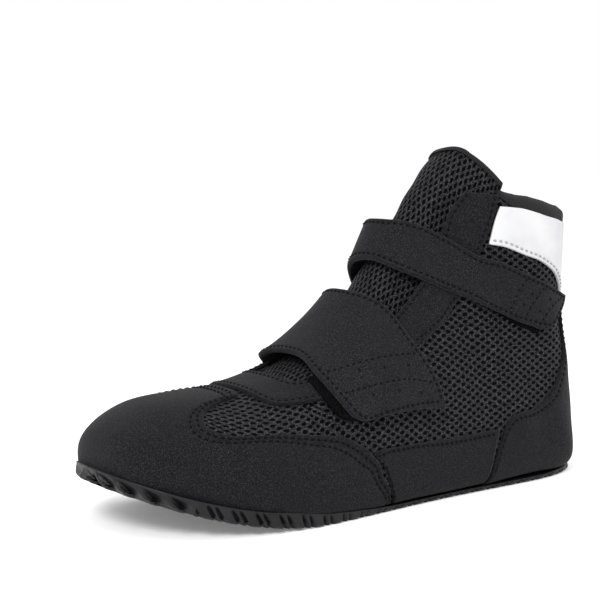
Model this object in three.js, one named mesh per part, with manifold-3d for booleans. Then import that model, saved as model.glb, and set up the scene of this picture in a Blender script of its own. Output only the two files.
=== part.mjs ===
// High-top wrestling shoe for the left foot, at its real size in millimetres.
// +X runs from heel to toe, +Y to the outer (lateral) side of the foot, +Z up.
// The origin lies on the ground under the middle of the heel pad, where the shoe rests.
import * as THREE from "three";
import { mergeVertices } from "three/addons/utils/BufferGeometryUtils.js";
import Module from "manifold-3d";

const wasm = await Module();
wasm.setup();

// Driving sizes of the last.
const length = 280; // heel back to toe tip, over the rubber
const ballWidth = 97; // upper across the ball of the foot
const heelWidth = 66; // upper across the heel and the shaft
const instepHeight = 84; // top of the instep, in front of the ankle
const shaftHeight = 173; // top of the tongue's section plane
const toeSpring = 22; // rise of the sole's underside at the toe tip
const springStart = 0.66; // share of the length where that rise begins

// Wall and layer thicknesses, and the gap left between pieces that touch.
const upperWall = 2.2;
const capThickness = 1.5; // toe cap and heel counter
const overlayThickness = 1.1; // side panels and collar panel
const eyestayThickness = 1.4;
const pileThickness = 1.2;
const strapThickness = 2.4;
const tongueThickness = 4.0;
const insoleThickness = 3.0;
const clearance = 0.3;

// Rubber sole.
const soleThickness = 2.4; // rubber under the foot
const rimHeight = 7.3; // rubber that climbs the toe and the ball
const edgeRounding = 1.6; // radius-like rounding of the lower edge
const lastingMargin = 11; // width of upper turned in under the foot
const treadDepth = 1.0;
const grooveWidth = 1.8;
const grooveInset = 10; // perimeter groove, in from the edge
const rimSlotPitch = 11;
const rimSlotWidth = 1.5;
const rimSlotDepth = 0.9;
const rimSlotsFrom = 0.57; // share of the length where the slots begin
const heelRibs = 10; // rib grooves that fan out from the heel pad, and how far they reach past it
const heelRibReach = 0.27 * ballWidth;
const ballRibs = 14;
const ballRibReach = 0.35 * ballWidth;

// Where the pads of the tread lie, as shares of the length from the heel.
const heelPadAt = 0.23;
const waistPadAt = 0.5;
const ballPadAt = 0.82;

// Sections of the foot, toe to instep. Columns: where the section meets the sole (share of length),
// where it meets the top (share of length), height of the top (share of instepHeight), half widths
// (shares of ballWidth), height of the widest point (share of the section), squareness of the
// lower outer and lower inner corner, squareness of the top, sideways shift (share of ballWidth).
const footSections = [
  [0.98, 0.98, 0.34, 0.0, 0.0, 0.5, 2.8, 2.8, 2.2, -0.072],
  [0.966, 0.967, 0.502, 0.258, 0.247, 0.42, 3.2, 3.2, 2.2, -0.072],
  [0.91, 0.9, 0.636, 0.392, 0.381, 0.38, 4.6, 4.6, 2.2, -0.062],
  [0.821, 0.811, 0.679, 0.482, 0.454, 0.36, 6.5, 6.0, 2.2, -0.031],
  [0.714, 0.711, 0.72, 0.51, 0.482, 0.34, 8.0, 6.5, 2.2, -0.005],
  [0.607, 0.625, 0.827, 0.485, 0.433, 0.34, 9.0, 5.0, 2.2, 0.0],
  [0.493, 0.557, 1.0, 0.433, 0.371, 0.34, 9.5, 3.6, 2.2, 0.01],
];

// Sections of the heel and the shaft, fanned about the ankle. Columns: foot of the section at the
// sole or the heel's back (share of length, height as share of shaftHeight), its top at the front
// (share of length, share of shaftHeight), half widths (shares of heelWidth), then as above.
const shaftSections = [
  [0.375, 0.0, 0.504, 0.572, 0.583, 0.508, 0.32, 9.0, 3.4, 2.2, 0.01],
  [0.257, 0.0, 0.464, 0.647, 0.553, 0.515, 0.3, 7.5, 4.4, 2.2, 0.0],
  [0.143, 0.0, 0.432, 0.717, 0.518, 0.505, 0.28, 5.5, 5.0, 2.2, 0.0],
  [0.053, 0.0, 0.4, 0.786, 0.488, 0.48, 0.3, 4.6, 4.6, 2.2, 0.0],
  [0.017, 0.048, 0.375, 0.844, 0.48, 0.472, 0.36, 3.2, 3.2, 2.2, 0.0],
  [0.012, 0.185, 0.35, 0.896, 0.48, 0.472, 0.44, 2.4, 2.4, 2.2, 0.0],
  [0.024, 0.335, 0.321, 0.948, 0.478, 0.465, 0.5, 2.2, 2.2, 2.2, 0.0],
  [0.037, 0.474, 0.289, 1.0, 0.482, 0.467, 0.52, 2.1, 2.1, 2.2, 0.0],
  [0.039, 0.613, 0.254, 1.058, 0.484, 0.469, 0.52, 2.1, 2.1, 2.2, 0.0],
  [0.042, 0.751, 0.218, 1.116, 0.484, 0.469, 0.52, 2.1, 2.1, 2.2, 0.0],
  [0.045, 0.89, 0.182, 1.173, 0.484, 0.469, 0.52, 2.1, 2.1, 2.2, 0.0],
];

// Outline of the rubber sole. Columns: share of length, half widths (shares of ballWidth),
// height of the rubber edge on each side (shares of rimHeight).
const soleOutline = [
  [0.0, 0.0, 0.0, 0.42, 0.42],
  [0.008, 0.125, 0.125, 0.42, 0.42],
  [0.03, 0.212, 0.212, 0.42, 0.42],
  [0.08, 0.29, 0.29, 0.4, 0.42],
  [0.15, 0.334, 0.328, 0.3, 0.45],
  [0.25, 0.358, 0.334, 0.3, 0.62],
  [0.35, 0.382, 0.316, 0.3, 0.95],
  [0.45, 0.418, 0.31, 0.3, 1.05],
  [0.55, 0.466, 0.36, 0.42, 1.0],
  [0.65, 0.511, 0.448, 0.72, 1.0],
  [0.72, 0.523, 0.5, 1.0, 1.0],
  [0.8, 0.503, 0.515, 1.0, 1.0],
  [0.88, 0.428, 0.486, 1.0, 1.0],
  [0.94, 0.32, 0.412, 1.0, 1.0],
  [0.98, 0.186, 0.294, 1.0, 1.0],
  [0.995, 0.07, 0.19, 1.0, 1.0],
  [1.0, -0.062, 0.062, 1.0, 1.0],
];

// Panel edges lie on the last: a station counts the sections from the toe tip (0) to the top, and
// a turn is the angle about the section, 0 at the sole or heel back, 90 outer side, 180 top.
// Columns of every edge table: station and turn of one edge, station and turn of the other.
const toeCapEdges = [
  [5.8, 40, 5.78, 47],
  [5.5, 40, 5.72, 60],
  [5.2, 40, 5.62, 80],
  [4.9, 40, 5.43, 94],
  [4.5, 40, 5.11, 104],
  [4.0, 40, 4.7, 112],
  [3.4, 40, 3.91, 121],
  [2.8, 41, 3.04, 123],
  [2.3, 43, 2.65, 130],
  [1.8, 45, 2.66, 142],
  [1.4, 46, 2.83, 150],
  [1.1, 45, 3.19, 158],
  [0.85, 34, 3.52, 162],
  [0.75, 16, 3.56, 170],
  [0.72, 0, 3.56, 180],
];
const sidePanelEdges = [
  [5.87, 40, 5.85, 47],
  [5.95, 40, 5.79, 60],
  [6.1, 40, 5.69, 80],
  [6.4, 40, 5.54, 92],
  [6.8, 40, 6.3, 88],
  [7.2, 40, 7.38, 82],
  [7.68, 40, 8.54, 81],
];
const counterEdges = [
  [7.76, 40, 7.84, 44],
  [7.95, 40, 8.11, 57],
  [8.15, 40, 8.45, 71],
  [8.4, 40, 8.72, 82],
  [8.7, 39, 9.09, 89],
  [9.0, 38, 9.55, 88],
  [9.3, 37, 10.28, 84],
  [9.6, 35, 11.0, 76],
  [9.85, 31, 11.7, 65],
  [10.1, 26, 12.4, 54],
  [10.3, 19, 13.2, 48],
  [10.42, 12, 13.8, 44],
  [10.48, 5, 14.0, 22],
  [10.5, 0, 14.04, 0],
];
const collarPanelEdges = [
  [12.05, 121.5, 13.42, 118.5],
  [12.55, 111, 13.85, 110],
  [13.11, 95, 14.23, 101],
  [13.66, 79, 14.75, 85],
  [14.04, 62, 15.3, 66],
  [14.19, 42, 15.75, 44],
  [14.2, 20, 16.0, 20],
  [14.2, 0, 16.05, 0],
];
const eyestayEdges = [
  [12.7, 141, 13.7, 121],
  [11.7, 145, 12.77, 121],
  [10.85, 145, 11.6, 125.5],
  [9.8, 143.5, 10.5, 127.5],
  [8.8, 142, 9.38, 127.5],
  [7.5, 141, 8.0, 125],
  [6.4, 143, 6.8, 126],
  [5.6, 147, 5.7, 130],
  [5.02, 150, 4.85, 134],
  [4.66, 152, 4.25, 140],
  [4.46, 158, 3.87, 145],
  [4.4, 168, 3.7, 158],
  [4.38, 180, 3.64, 180],
];
const instepStrapEdges = [
  [5.9, 252, 7.2, 250],
  [5.5, 240, 7.4, 238],
  [5.2, 222, 7.35, 222],
  [4.9, 205, 7.1, 205],
  [4.93, 190, 6.98, 188],
  [4.98, 166, 7.0, 168],
  [4.88, 148, 7.2, 148],
  [4.94, 132, 7.24, 131],
  [5.05, 121, 7.34, 119],
  [5.13, 116.5, 7.38, 110],
  [5.35, 110.8, 7.32, 99.5],
];
const ankleStrapEdges = [
  [8.6, 241, 10.9, 235],
  [8.4, 228, 10.55, 222],
  [8.2, 208, 9.95, 206],
  [8.15, 192, 9.66, 191],
  [8.25, 172, 9.66, 172],
  [8.42, 155, 10.2, 154],
  [8.96, 140, 10.75, 141],
  [9.91, 124, 11.32, 128],
  [10.85, 111, 12.0, 114],
  [11.53, 97, 12.68, 94],
  [11.9, 86, 13.49, 66],
  [12.1, 80, 14.02, 45],
];
const instepPileEdges = [
  [4.74, 150, 6.9, 150],
  [4.74, 137, 7.05, 139],
  [4.88, 121, 7.2, 122],
  [5.2, 114, 7.2, 109],
  [5.7, 108.5, 7.1, 104],
];
const anklePileEdges = [
  [10.35, 119, 11.55, 120.5],
  [10.8, 111, 12.0, 112],
  [11.4, 98, 12.6, 95],
  [11.75, 88, 13.3, 70],
];

// Top edge of the upper. Columns: turn, station.
const collarEdge = [
  [0, 16.17],
  [20, 16.12],
  [44, 15.88],
  [66, 15.42],
  [85, 14.88],
  [101, 14.36],
  [110, 13.98],
  [121, 13.72],
  [131, 13.2],
  [141, 12.72],
  [180, 12.2],
];

// Half width of the tongue as a turn from the front. Columns: station, turn from the front.
const tongueWidths = [
  [3.9, 30],
  [4.6, 38],
  [6.5, 50],
  [9.0, 51],
  [11.0, 53],
  [12.6, 57],
  [13.6, 61],
  [14.0, 60],
];
const tongueTop = 14.2; // station of the tongue's bound top edge
const bindingDepth = 0.14; // stations taken by the binding
const bulgeStart = 33; // turn from the front where the tongue sinks under the eyestay
const bulgeEnd = 24;
const tongueRecess = 1.2; // the tongue's face lies this far under the last in the throat

// How far the straps stand off the last where they bridge the tongue, and the turns from the front
// between which they leave it.
const instepStandOff = 1.2;
const instepLeaves = [48, 20];
const ankleStandOff = 5.5;
const ankleLeaves = [50, 12];
const clearOverTop = 0.1 * length; // height of the cutters over the open top

const smooth = (from, to, value) => THREE.MathUtils.smoothstep(value, from, to);
const ramp = (from, to, value) => (from < to ? smooth(from, to, value) : 1 - smooth(to, from, value));
const springRise = (x) => {
  const past = Math.max(0, (x / length - springStart) / (1 - springStart));
  return toeSpring * past ** 1.8;
};
const underFoot = (x) => springRise(x) + soleThickness + clearance;

// Rows of the last in millimetres, with the same columns for foot and shaft.
const lastRows = [
  ...footSections.map(([sole, top, height, outer, inner, widest, squareOut, squareIn, squareTop, shift], index) => {
    const topHeight = height * instepHeight;
    return [
      sole * length,
      index === 0 ? topHeight : underFoot(sole * length),
      top * length,
      topHeight,
      outer * ballWidth,
      inner * ballWidth,
      widest,
      squareOut,
      squareIn,
      squareTop,
      shift * ballWidth,
    ];
  }),
  ...shaftSections.map(([back, rise, front, height, outer, inner, widest, squareOut, squareIn, squareTop, shift]) => [
    back * length,
    Math.max(underFoot(back * length), rise * shaftHeight),
    front * length,
    height * shaftHeight,
    outer * heelWidth,
    inner * heelWidth,
    widest,
    squareOut,
    squareIn,
    squareTop,
    shift * ballWidth,
  ]),
];
const topStation = lastRows.length - 1;

// Smooth curve through table rows at a fractional row number.
function between(rows, at, before, after) {
  const first = Math.min(Math.max(Math.floor(at), 0), rows.length - 2);
  const t = at - first;
  const near = rows[first];
  const far = rows[first + 1];
  const previous = rows[first - 1] ?? before ?? near.map((value, k) => 2 * value - far[k]);
  const next = rows[first + 2] ?? after ?? far.map((value, k) => 2 * value - near[k]);
  return near.map(
    (value, k) =>
      0.5 *
      (2 * value +
        (far[k] - previous[k]) * t +
        (2 * previous[k] - 5 * value + 4 * far[k] - next[k]) * t * t +
        (3 * value - previous[k] - 3 * far[k] + next[k]) * t * t * t),
  );
}

// Beyond the toe tip the first section is met again upside down, so the tip closes smoothly.
const beyondTip = (() => {
  const [footX, footZ, topX, topZ, outer, inner, ...rest] = lastRows[1];
  return [topX, topZ, footX, footZ, -outer, -inner, ...rest];
})();

function onLast(station, turn) {
  const [footX, footZ, topX, topZ, outer, inner, widest, squareOut, squareIn, squareTop, shift] = between(
    lastRows,
    station,
    beyondTip,
  );
  const across = Math.sin(turn);
  const up = Math.cos(turn);
  const low = up > 0;
  const square = low ? (across >= 0 ? squareOut : squareIn) : squareTop;
  const reach = (Math.abs(up) ** square + Math.abs(across) ** square) ** (-1 / square);
  const rise = low ? widest * (1 - up * reach) : widest - (1 - widest) * up * reach;
  const half = across >= 0 ? outer : inner;
  return new THREE.Vector3(
    footX + (topX - footX) * rise,
    shift + half * across * reach,
    footZ + (topZ - footZ) * rise,
  );
}

// A point at a distance out from the last, along its normal.
function last(station, turnInDegrees, offset = 0) {
  const turn = THREE.MathUtils.degToRad(turnInDegrees);
  const point = onLast(station, turn);
  if (offset === 0) return point;
  const step = 0.004;
  const middle = Math.min(Math.max(station, 0.03), topStation - 0.03);
  const along = onLast(middle + step, turn).sub(onLast(middle - step, turn));
  const around = onLast(middle, turn + step).sub(onLast(middle, turn - step));
  return point.addScaledVector(along.cross(around).normalize(), offset);
}

// Turns at which the closed skins of the last are sampled, close together at the lower corners.
const halfTurns = [20, 36, 46, 58, 76, 96, 116, 134, 150, 165];
const skinTurns = [0, ...halfTurns, 180, ...halfTurns.map((turn) => 360 - turn).reverse()];
const skinStations = [0.18, 0.45, 0.8, 1.2, 1.7, 2.2, 2.8, 3.4];
for (let station = 4; station < topStation - 0.2; station += 0.75) skinStations.push(station);
skinStations.push(topStation - 0.1);

function solid(positions, triangles) {
  const geometry = new THREE.BufferGeometry();
  geometry.setAttribute("position", new THREE.Float32BufferAttribute(positions.flatMap((p) => [p.x, p.y, p.z]), 3));
  geometry.setIndex(triangles.flat());
  const merged = mergeVertices(geometry, 1e-4);
  const place = merged.getAttribute("position");
  const corner = (index) => new THREE.Vector3().fromBufferAttribute(place, index);
  const kept = [];
  let volume = 0;
  for (let i = 0; i < merged.index.count; i += 3) {
    const [a, b, c] = [merged.index.getX(i), merged.index.getX(i + 1), merged.index.getX(i + 2)];
    if (a === b || b === c || c === a) continue;
    kept.push([a, b, c]);
    volume += corner(a).dot(corner(b).cross(corner(c)));
  }
  const outward = volume > 0 ? kept : kept.map(([a, b, c]) => [a, c, b]);
  return new wasm.Manifold(
    new wasm.Mesh({
      numProp: 3,
      vertProperties: new Float32Array(place.array),
      triVerts: new Uint32Array(outward.flat()),
    }),
  );
}

// The cuts can leave specks where two faces nearly meet, far smaller than a thousandth of the piece.
const speck = 0.001;
const withoutDust = (piece) =>
  piece
    .decompose()
    .filter((body) => body.volume() > speck * piece.volume())
    .reduce((whole, body) => whole.add(body));

// Closed solid from rings of points, with a fan on its first and last ring.
function stack(rings) {
  const around = rings[0].length;
  const positions = rings.flat();
  const triangles = [];
  for (let ring = 0; ring < rings.length - 1; ring += 1) {
    for (let k = 0; k < around; k += 1) {
      const next = (k + 1) % around;
      const [a, b, c, d] = [
        ring * around + k,
        ring * around + next,
        (ring + 1) * around + next,
        (ring + 1) * around + k,
      ];
      triangles.push([a, b, c], [a, c, d]);
    }
  }
  for (const [ring, flip] of [
    [0, true],
    [rings.length - 1, false],
  ]) {
    const centre = rings[ring].reduce((sum, p) => sum.add(p), new THREE.Vector3()).divideScalar(around);
    positions.push(centre);
    for (let k = 0; k < around; k += 1) {
      const pair = [ring * around + k, ring * around + ((k + 1) % around)];
      triangles.push([...(flip ? pair.reverse() : pair), positions.length - 1]);
    }
  }
  return solid(positions, triangles);
}

// Closed solid between two grids of points, an outer and an inner face. A looped grid closes on itself.
function slab(outerGrid, innerGrid, looped = false) {
  const rows = outerGrid.length;
  const columns = outerGrid[0].length;
  const positions = [...outerGrid.flat(), ...innerGrid.flat()];
  const innerStart = rows * columns;
  const at = (row, column) => (row % rows) * columns + column;
  const triangles = [];
  const quad = (a, b, c, d) => triangles.push([a, b, c], [a, c, d]);
  const lastRow = looped ? rows : rows - 1;
  for (let i = 0; i < lastRow; i += 1) {
    for (let j = 0; j < columns - 1; j += 1) {
      quad(at(i, j), at(i + 1, j), at(i + 1, j + 1), at(i, j + 1));
      quad(
        innerStart + at(i, j + 1),
        innerStart + at(i + 1, j + 1),
        innerStart + at(i + 1, j),
        innerStart + at(i, j),
      );
    }
    quad(at(i + 1, 0), at(i, 0), innerStart + at(i, 0), innerStart + at(i + 1, 0));
    const edge = columns - 1;
    quad(at(i, edge), at(i + 1, edge), innerStart + at(i + 1, edge), innerStart + at(i, edge));
  }
  if (!looped) {
    for (let j = 0; j < columns - 1; j += 1) {
      quad(at(0, j), at(0, j + 1), innerStart + at(0, j + 1), innerStart + at(0, j));
      const end = rows - 1;
      quad(at(end, j + 1), at(end, j), innerStart + at(end, j), innerStart + at(end, j + 1));
    }
  }
  return solid(positions, triangles);
}

// The same edge rows carried round to the inner side of the foot.
const mirroredFront = (rows) => [...rows, ...rows.slice(0, -1).reverse().map(([a, b, c, d]) => [a, 360 - b, c, 360 - d])];
const mirroredBack = (rows) => [...rows, ...rows.slice(0, -1).reverse().map(([a, b, c, d]) => [a, -b, c, -d])];
const innerSide = (rows) => rows.map(([a, b, c, d]) => [a, 360 - b, c, 360 - d]);

const degrees = THREE.MathUtils.radToDeg;
const radians = THREE.MathUtils.degToRad;

// Sheet on the last between the two edges of a table. Round the toe the rows are joined straight
// across on the last rolled out flat, elsewhere by station and turn. A crowd above 1 brings the
// steps across closer together at the first edge, where the last turns under the foot. A sheet may
// run past its first edge and its ends by a small share.
function panel({ edges, along, across, inner, outer, roundToe = false, crowd = 1, past = 0 }) {
  const flat = ([a, b]) => (roundToe ? [a * Math.sin(radians(b)), -a * Math.cos(radians(b))] : [a, b]);
  const rolled = ([p, q]) => (roundToe ? [Math.hypot(p, q), degrees(Math.atan2(p, -q))] : [p, q]);
  const rows = edges.map((row) => [...flat(row.slice(0, 2)), ...flat(row.slice(2))]);
  const height = (value, ...where) => (typeof value === "function" ? value(...where) : value);
  const lastRow = rows.length - 1;
  const places = Array.from({ length: along + 1 }, (_, i) => (i / along) * lastRow);
  const shares = Array.from({ length: across + 1 }, (_, j) => (j / across) ** crowd);
  if (past > 0) {
    places.unshift(-past);
    places.push(lastRow + past);
    shares.unshift(-past);
  }
  const outerGrid = [];
  const innerGrid = [];
  for (const place of places) {
    const [p0, q0, p1, q1] = between(rows, place);
    const outerRow = [];
    const innerRow = [];
    for (const share of shares) {
      const [station, turn] = rolled([p0 + (p1 - p0) * share, q0 + (q1 - q0) * share]);
      outerRow.push(last(station, turn, height(outer, station, turn, share)));
      innerRow.push(last(station, turn, height(inner, station, turn, share)));
    }
    outerGrid.push(outerRow);
    innerGrid.push(innerRow);
  }
  return slab(outerGrid, innerGrid);
}

const skin = (offset) =>
  stack([
    skinTurns.map(() => last(0, 0, 0).add(new THREE.Vector3(offset, 0, 0))),
    ...skinStations.map((station) => skinTurns.map((turn) => last(station, turn, offset))),
  ]);

// Outline of the sole at a distance in from its edge, running round from the heel on the outer side.
const outlineSteps = 24;
function outlineRing(inset, heightAt) {
  const sides = [1, -1].map((side) => {
    const points = [];
    for (let i = 0; i <= outlineSteps; i += 1) {
      const at = (i / outlineSteps) * (soleOutline.length - 1);
      const read = (where) => {
        const [share, outer, inner] = between(soleOutline, Math.min(Math.max(where, 0), soleOutline.length - 1));
        return new THREE.Vector2(share * length, (side > 0 ? outer : -inner) * ballWidth);
      };
      const here = read(at);
      const end = i === 0 || i === outlineSteps;
      const tangent = end ? new THREE.Vector2(0, i === 0 ? side : -side) : read(at + 0.05).sub(read(at - 0.05));
      const normal = new THREE.Vector2(-tangent.y, tangent.x).normalize().multiplyScalar(side);
      here.addScaledVector(normal, -inset);
      const [, , , outerRim, innerRim] = between(soleOutline, at);
      points.push(new THREE.Vector3(here.x, here.y, heightAt(here.x, (side > 0 ? outerRim : innerRim) * rimHeight)));
    }
    return points;
  });
  return [...sides[0], ...sides[1].slice(1, -1).reverse()];
}

// Closed solid from outline rings, with both ends closed straight across the foot.
function soleBlock(rings) {
  const around = rings[0].length;
  const positions = rings.flat();
  const triangles = [];
  for (let ring = 0; ring < rings.length - 1; ring += 1) {
    for (let k = 0; k < around; k += 1) {
      const next = (k + 1) % around;
      const [a, b] = [ring * around + k, ring * around + next];
      triangles.push([a, b, b + around], [a, b + around, a + around]);
    }
  }
  for (const [ring, flip] of [
    [0, true],
    [rings.length - 1, false],
  ]) {
    const start = ring * around;
    const outerAt = (i) => start + i;
    const innerAt = (i) => start + ((around - i) % around);
    for (let i = 0; i < outlineSteps; i += 1) {
      const quad = [outerAt(i), outerAt(i + 1), i + 1 === outlineSteps ? outerAt(i + 1) : innerAt(i + 1), innerAt(i)];
      const halves = [
        [quad[0], quad[1], quad[2]],
        [quad[0], quad[2], quad[3]],
      ].filter(([a, b, c]) => a !== b && b !== c && c !== a);
      for (const half of halves) triangles.push(flip ? half.reverse() : half);
    }
  }
  return solid(positions, triangles);
}

// Groove cutter that follows a route under the sole, to a depth above its underside.
function grooveAlong(route, width, depth, looped = false) {
  const count = route.length;
  const top = [];
  const bottom = [];
  route.forEach(([x, y], index) => {
    const back = route[looped ? (index + count - 1) % count : Math.max(index - 1, 0)];
    const ahead = route[looped ? (index + 1) % count : Math.min(index + 1, count - 1)];
    const side = new THREE.Vector2(-(ahead[1] - back[1]), ahead[0] - back[0]).normalize().multiplyScalar(width / 2);
    const pair = [
      [x + side.x, y + side.y],
      [x - side.x, y - side.y],
    ];
    top.push(pair.map(([px, py]) => new THREE.Vector3(px, py, springRise(px) + depth)));
    bottom.push(pair.map(([px, py]) => new THREE.Vector3(px, py, springRise(px) - treadDepth)));
  });
  return slab(top, bottom, looped);
}

const heelPad = [heelPadAt * length, 0];
const waistPad = [waistPadAt * length, 0.05 * ballWidth];
const ballPad = [ballPadAt * length, -0.015 * ballWidth];
const padSizes = {
  heel: [0.061 * length, 0.155 * ballWidth],
  waist: [0.068 * length, 0.145 * ballWidth],
  ball: [0.075 * length, 0.2 * ballWidth],
};

const ellipse = ([x, y], [along, across], grow, steps = 16) =>
  Array.from({ length: steps }, (_, k) => {
    const angle = (k / steps) * 2 * Math.PI;
    return [x + (along + grow) * Math.cos(angle), y + (across + grow) * Math.sin(angle)];
  });

// Straight rib grooves that fan out from a pad as far as the perimeter groove.
const insidePerimeter = outlineRing(grooveInset + grooveWidth, () => 0).map((p) => [p.x, p.y]);
const inPolygon = (x, y) => {
  let inside = false;
  insidePerimeter.forEach(([x1, y1], k) => {
    const [x2, y2] = insidePerimeter[(k + 1) % insidePerimeter.length];
    if (y1 > y !== y2 > y && x < ((x2 - x1) * (y - y1)) / (y2 - y1) + x1) inside = !inside;
  });
  return inside;
};
function ribGrooves(pad, [along, across], count, farthest) {
  const grooves = [];
  for (let k = 0; k < count; k += 1) {
    const angle = ((k + 0.5) / count) * 2 * Math.PI;
    const point = (grow) => [
      pad[0] + (along + grow) * Math.cos(angle),
      pad[1] + (across + grow) * Math.sin(angle),
    ];
    let reach = 4;
    while (reach < farthest && inPolygon(...point(reach + 1))) reach += 1;
    if (reach > 8) grooves.push(grooveAlong([point(4), point(reach)], grooveWidth * 0.7, treadDepth));
  }
  return grooves;
}

const parts = {};
const outerSkin = skin(0);
const innerSkin = skin(-upperWall);

// Opening in the front of the upper, where the tongue shows between the two sides of the eyestay.
const throatRows = [
  [4.38, 174, 4.38, 186],
  ...eyestayEdges
    .slice(0, -1)
    .reverse()
    .map(([station, turn]) => [station, turn, station, 360 - turn]),
  [13.6, 136, 13.6, 224],
  [15, 132, 15, 228],
];
const throatOpening = panel({ edges: throatRows, along: 26, across: 6, inner: -3 * upperWall, outer: 3 * upperWall });

// All that lies above the collar's edge.
const collarStation = (turn) => {
  const folded = turn > 180 ? 360 - turn : turn;
  const row = collarEdge.findIndex(([at]) => at >= folded);
  const [fromTurn, fromStation] = collarEdge[Math.max(row - 1, 0)];
  const [toTurn, toStation] = collarEdge[row];
  const share = toTurn === fromTurn ? 0 : (folded - fromTurn) / (toTurn - fromTurn);
  return fromStation + (toStation - fromStation) * share;
};
const aboveCollar = stack(
  [0, 0.5, 1].map((share) =>
    skinTurns.map((turn) => {
      const low = collarStation(turn);
      return last(low + (topStation - low) * share, turn, 3 * upperWall);
    }),
  ).concat([skinTurns.map((turn) => last(topStation, turn, 3 * upperWall).add(new THREE.Vector3(0, 0, clearOverTop)))]),
);

// Hole under the foot, inside the margin that is turned in and glued to the sole.
const underFootHole = soleBlock([
  outlineRing(lastingMargin, (x) => springRise(x) - 1),
  outlineRing(lastingMargin, (x) => underFoot(x) + upperWall + 1),
]);

parts.upper = outerSkin.subtract(innerSkin).subtract(aboveCollar).subtract(throatOpening).subtract(underFootHole);

// Flat insole lying in the upper on the turned-in margin.
const insoleSlab = soleBlock([
  outlineRing(1, (x) => springRise(x)),
  outlineRing(1, (x) => underFoot(x) + upperWall + clearance + insoleThickness),
]);
parts.insole = skin(-upperWall - clearance).intersect(insoleSlab);

// Overlays sewn on the upper. Near the sole they are skived so that they tuck into the rubber cup.
// Each is given with room to spare where the sole has to clear it.
const thinned = 0.6; // share of an overlay's thickness left at its lower edge
const skived = (thickness) => (station, turn, share) =>
  clearance + thickness * (thinned + (1 - thinned) * ramp(0, 0.12, share));
const overlays = {
  toe_cap: { edges: mirroredFront(toeCapEdges), along: 34, across: 6, thickness: capThickness, roundToe: true },
  side_panel_lateral: { edges: sidePanelEdges, along: 11, across: 5, thickness: overlayThickness },
  side_panel_medial: { edges: innerSide(sidePanelEdges), along: 11, across: 5, thickness: overlayThickness },
  heel_counter: { edges: mirroredBack(counterEdges), along: 26, across: 4, thickness: capThickness },
};
const onUpper = skin(clearance);
const overlay = ({ thickness, ...sizes }, spare = 0) =>
  panel({
    ...sizes,
    crowd: 1.7,
    inner: -upperWall / 2,
    outer: (station, turn, share) => skived(thickness)(station, turn, share) + spare,
  });
for (const [name, sizes] of Object.entries(overlays)) parts[name] = overlay(sizes).subtract(onUpper);

// Sole: a cup of rubber with a rounded lower edge, hollowed by the upper and by its overlays.
const soleBody = soleBlock([
  outlineRing(edgeRounding, (x) => springRise(x)),
  outlineRing(edgeRounding * 0.3, (x) => springRise(x) + edgeRounding * 0.35),
  outlineRing(0, (x) => springRise(x) + edgeRounding),
  outlineRing(0.4, (x, rim) => springRise(x) + Math.max(rim, soleThickness - 0.05)),
]);
const perimeterGroove = grooveAlong(
  outlineRing(grooveInset, () => 0)
    .filter((_, k) => k % 2 === 0)
    .map((p) => [p.x, p.y]),
  grooveWidth,
  treadDepth,
  true,
);
const padGrooves = [
  [heelPad, padSizes.heel],
  [waistPad, padSizes.waist],
  [ballPad, padSizes.ball],
].map(([pad, size]) => grooveAlong(ellipse(pad, size, 0), grooveWidth, treadDepth, true));

// Slots across the rubber rim, all round the toe and the ball.
const rimSlots = [];
const rimLine = outlineRing(0, (x) => springRise(x));
let travelled = rimSlotPitch;
for (let k = 1; k < rimLine.length; k += 1) {
  const [from, to] = [rimLine[k - 1], rimLine[k]];
  const stretch = to.clone().sub(from);
  const step = Math.hypot(stretch.x, stretch.y);
  while (travelled < step) {
    const at = from.clone().addScaledVector(stretch, travelled / step);
    travelled += rimSlotPitch;
    if (at.x < rimSlotsFrom * length) continue;
    const block = new THREE.BoxGeometry(rimSlotWidth, rimSlotDepth * 2, rimHeight * 0.72);
    block.rotateZ(Math.atan2(stretch.y, stretch.x));
    block.translate(at.x, at.y, springRise(at.x) + rimHeight * 0.18);
    const place = block.getAttribute("position");
    const corners = Array.from({ length: place.count }, (_, i) => new THREE.Vector3().fromBufferAttribute(place, i));
    const index = Array.from(block.index.array);
    rimSlots.push(solid(corners, Array.from({ length: index.length / 3 }, (_, i) => index.slice(3 * i, 3 * i + 3))));
  }
  travelled -= step;
}

const ribs = [
  ...ribGrooves(heelPad, padSizes.heel, heelRibs, heelRibReach),
  ...ribGrooves(ballPad, padSizes.ball, ballRibs, ballRibReach),
];
parts.outsole = soleBody.subtract(onUpper);
const overlayRooms = Object.values(overlays).map((sizes) => overlay({ ...sizes, past: 0.03 }, clearance));
for (const cut of [...overlayRooms, perimeterGroove, ...padGrooves, ...ribs, ...rimSlots]) {
  parts.outsole = parts.outsole.subtract(cut);
}
parts.outsole = withoutDust(parts.outsole);

parts.collar_panel = panel({
  edges: mirroredBack(collarPanelEdges),
  along: 22,
  across: 3,
  inner: clearance * 2,
  outer: clearance * 2 + overlayThickness,
});
parts.eyestay = panel({
  edges: mirroredFront(eyestayEdges),
  along: 40,
  across: 2,
  inner: clearance * 2,
  outer: clearance * 2 + eyestayThickness,
});

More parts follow.
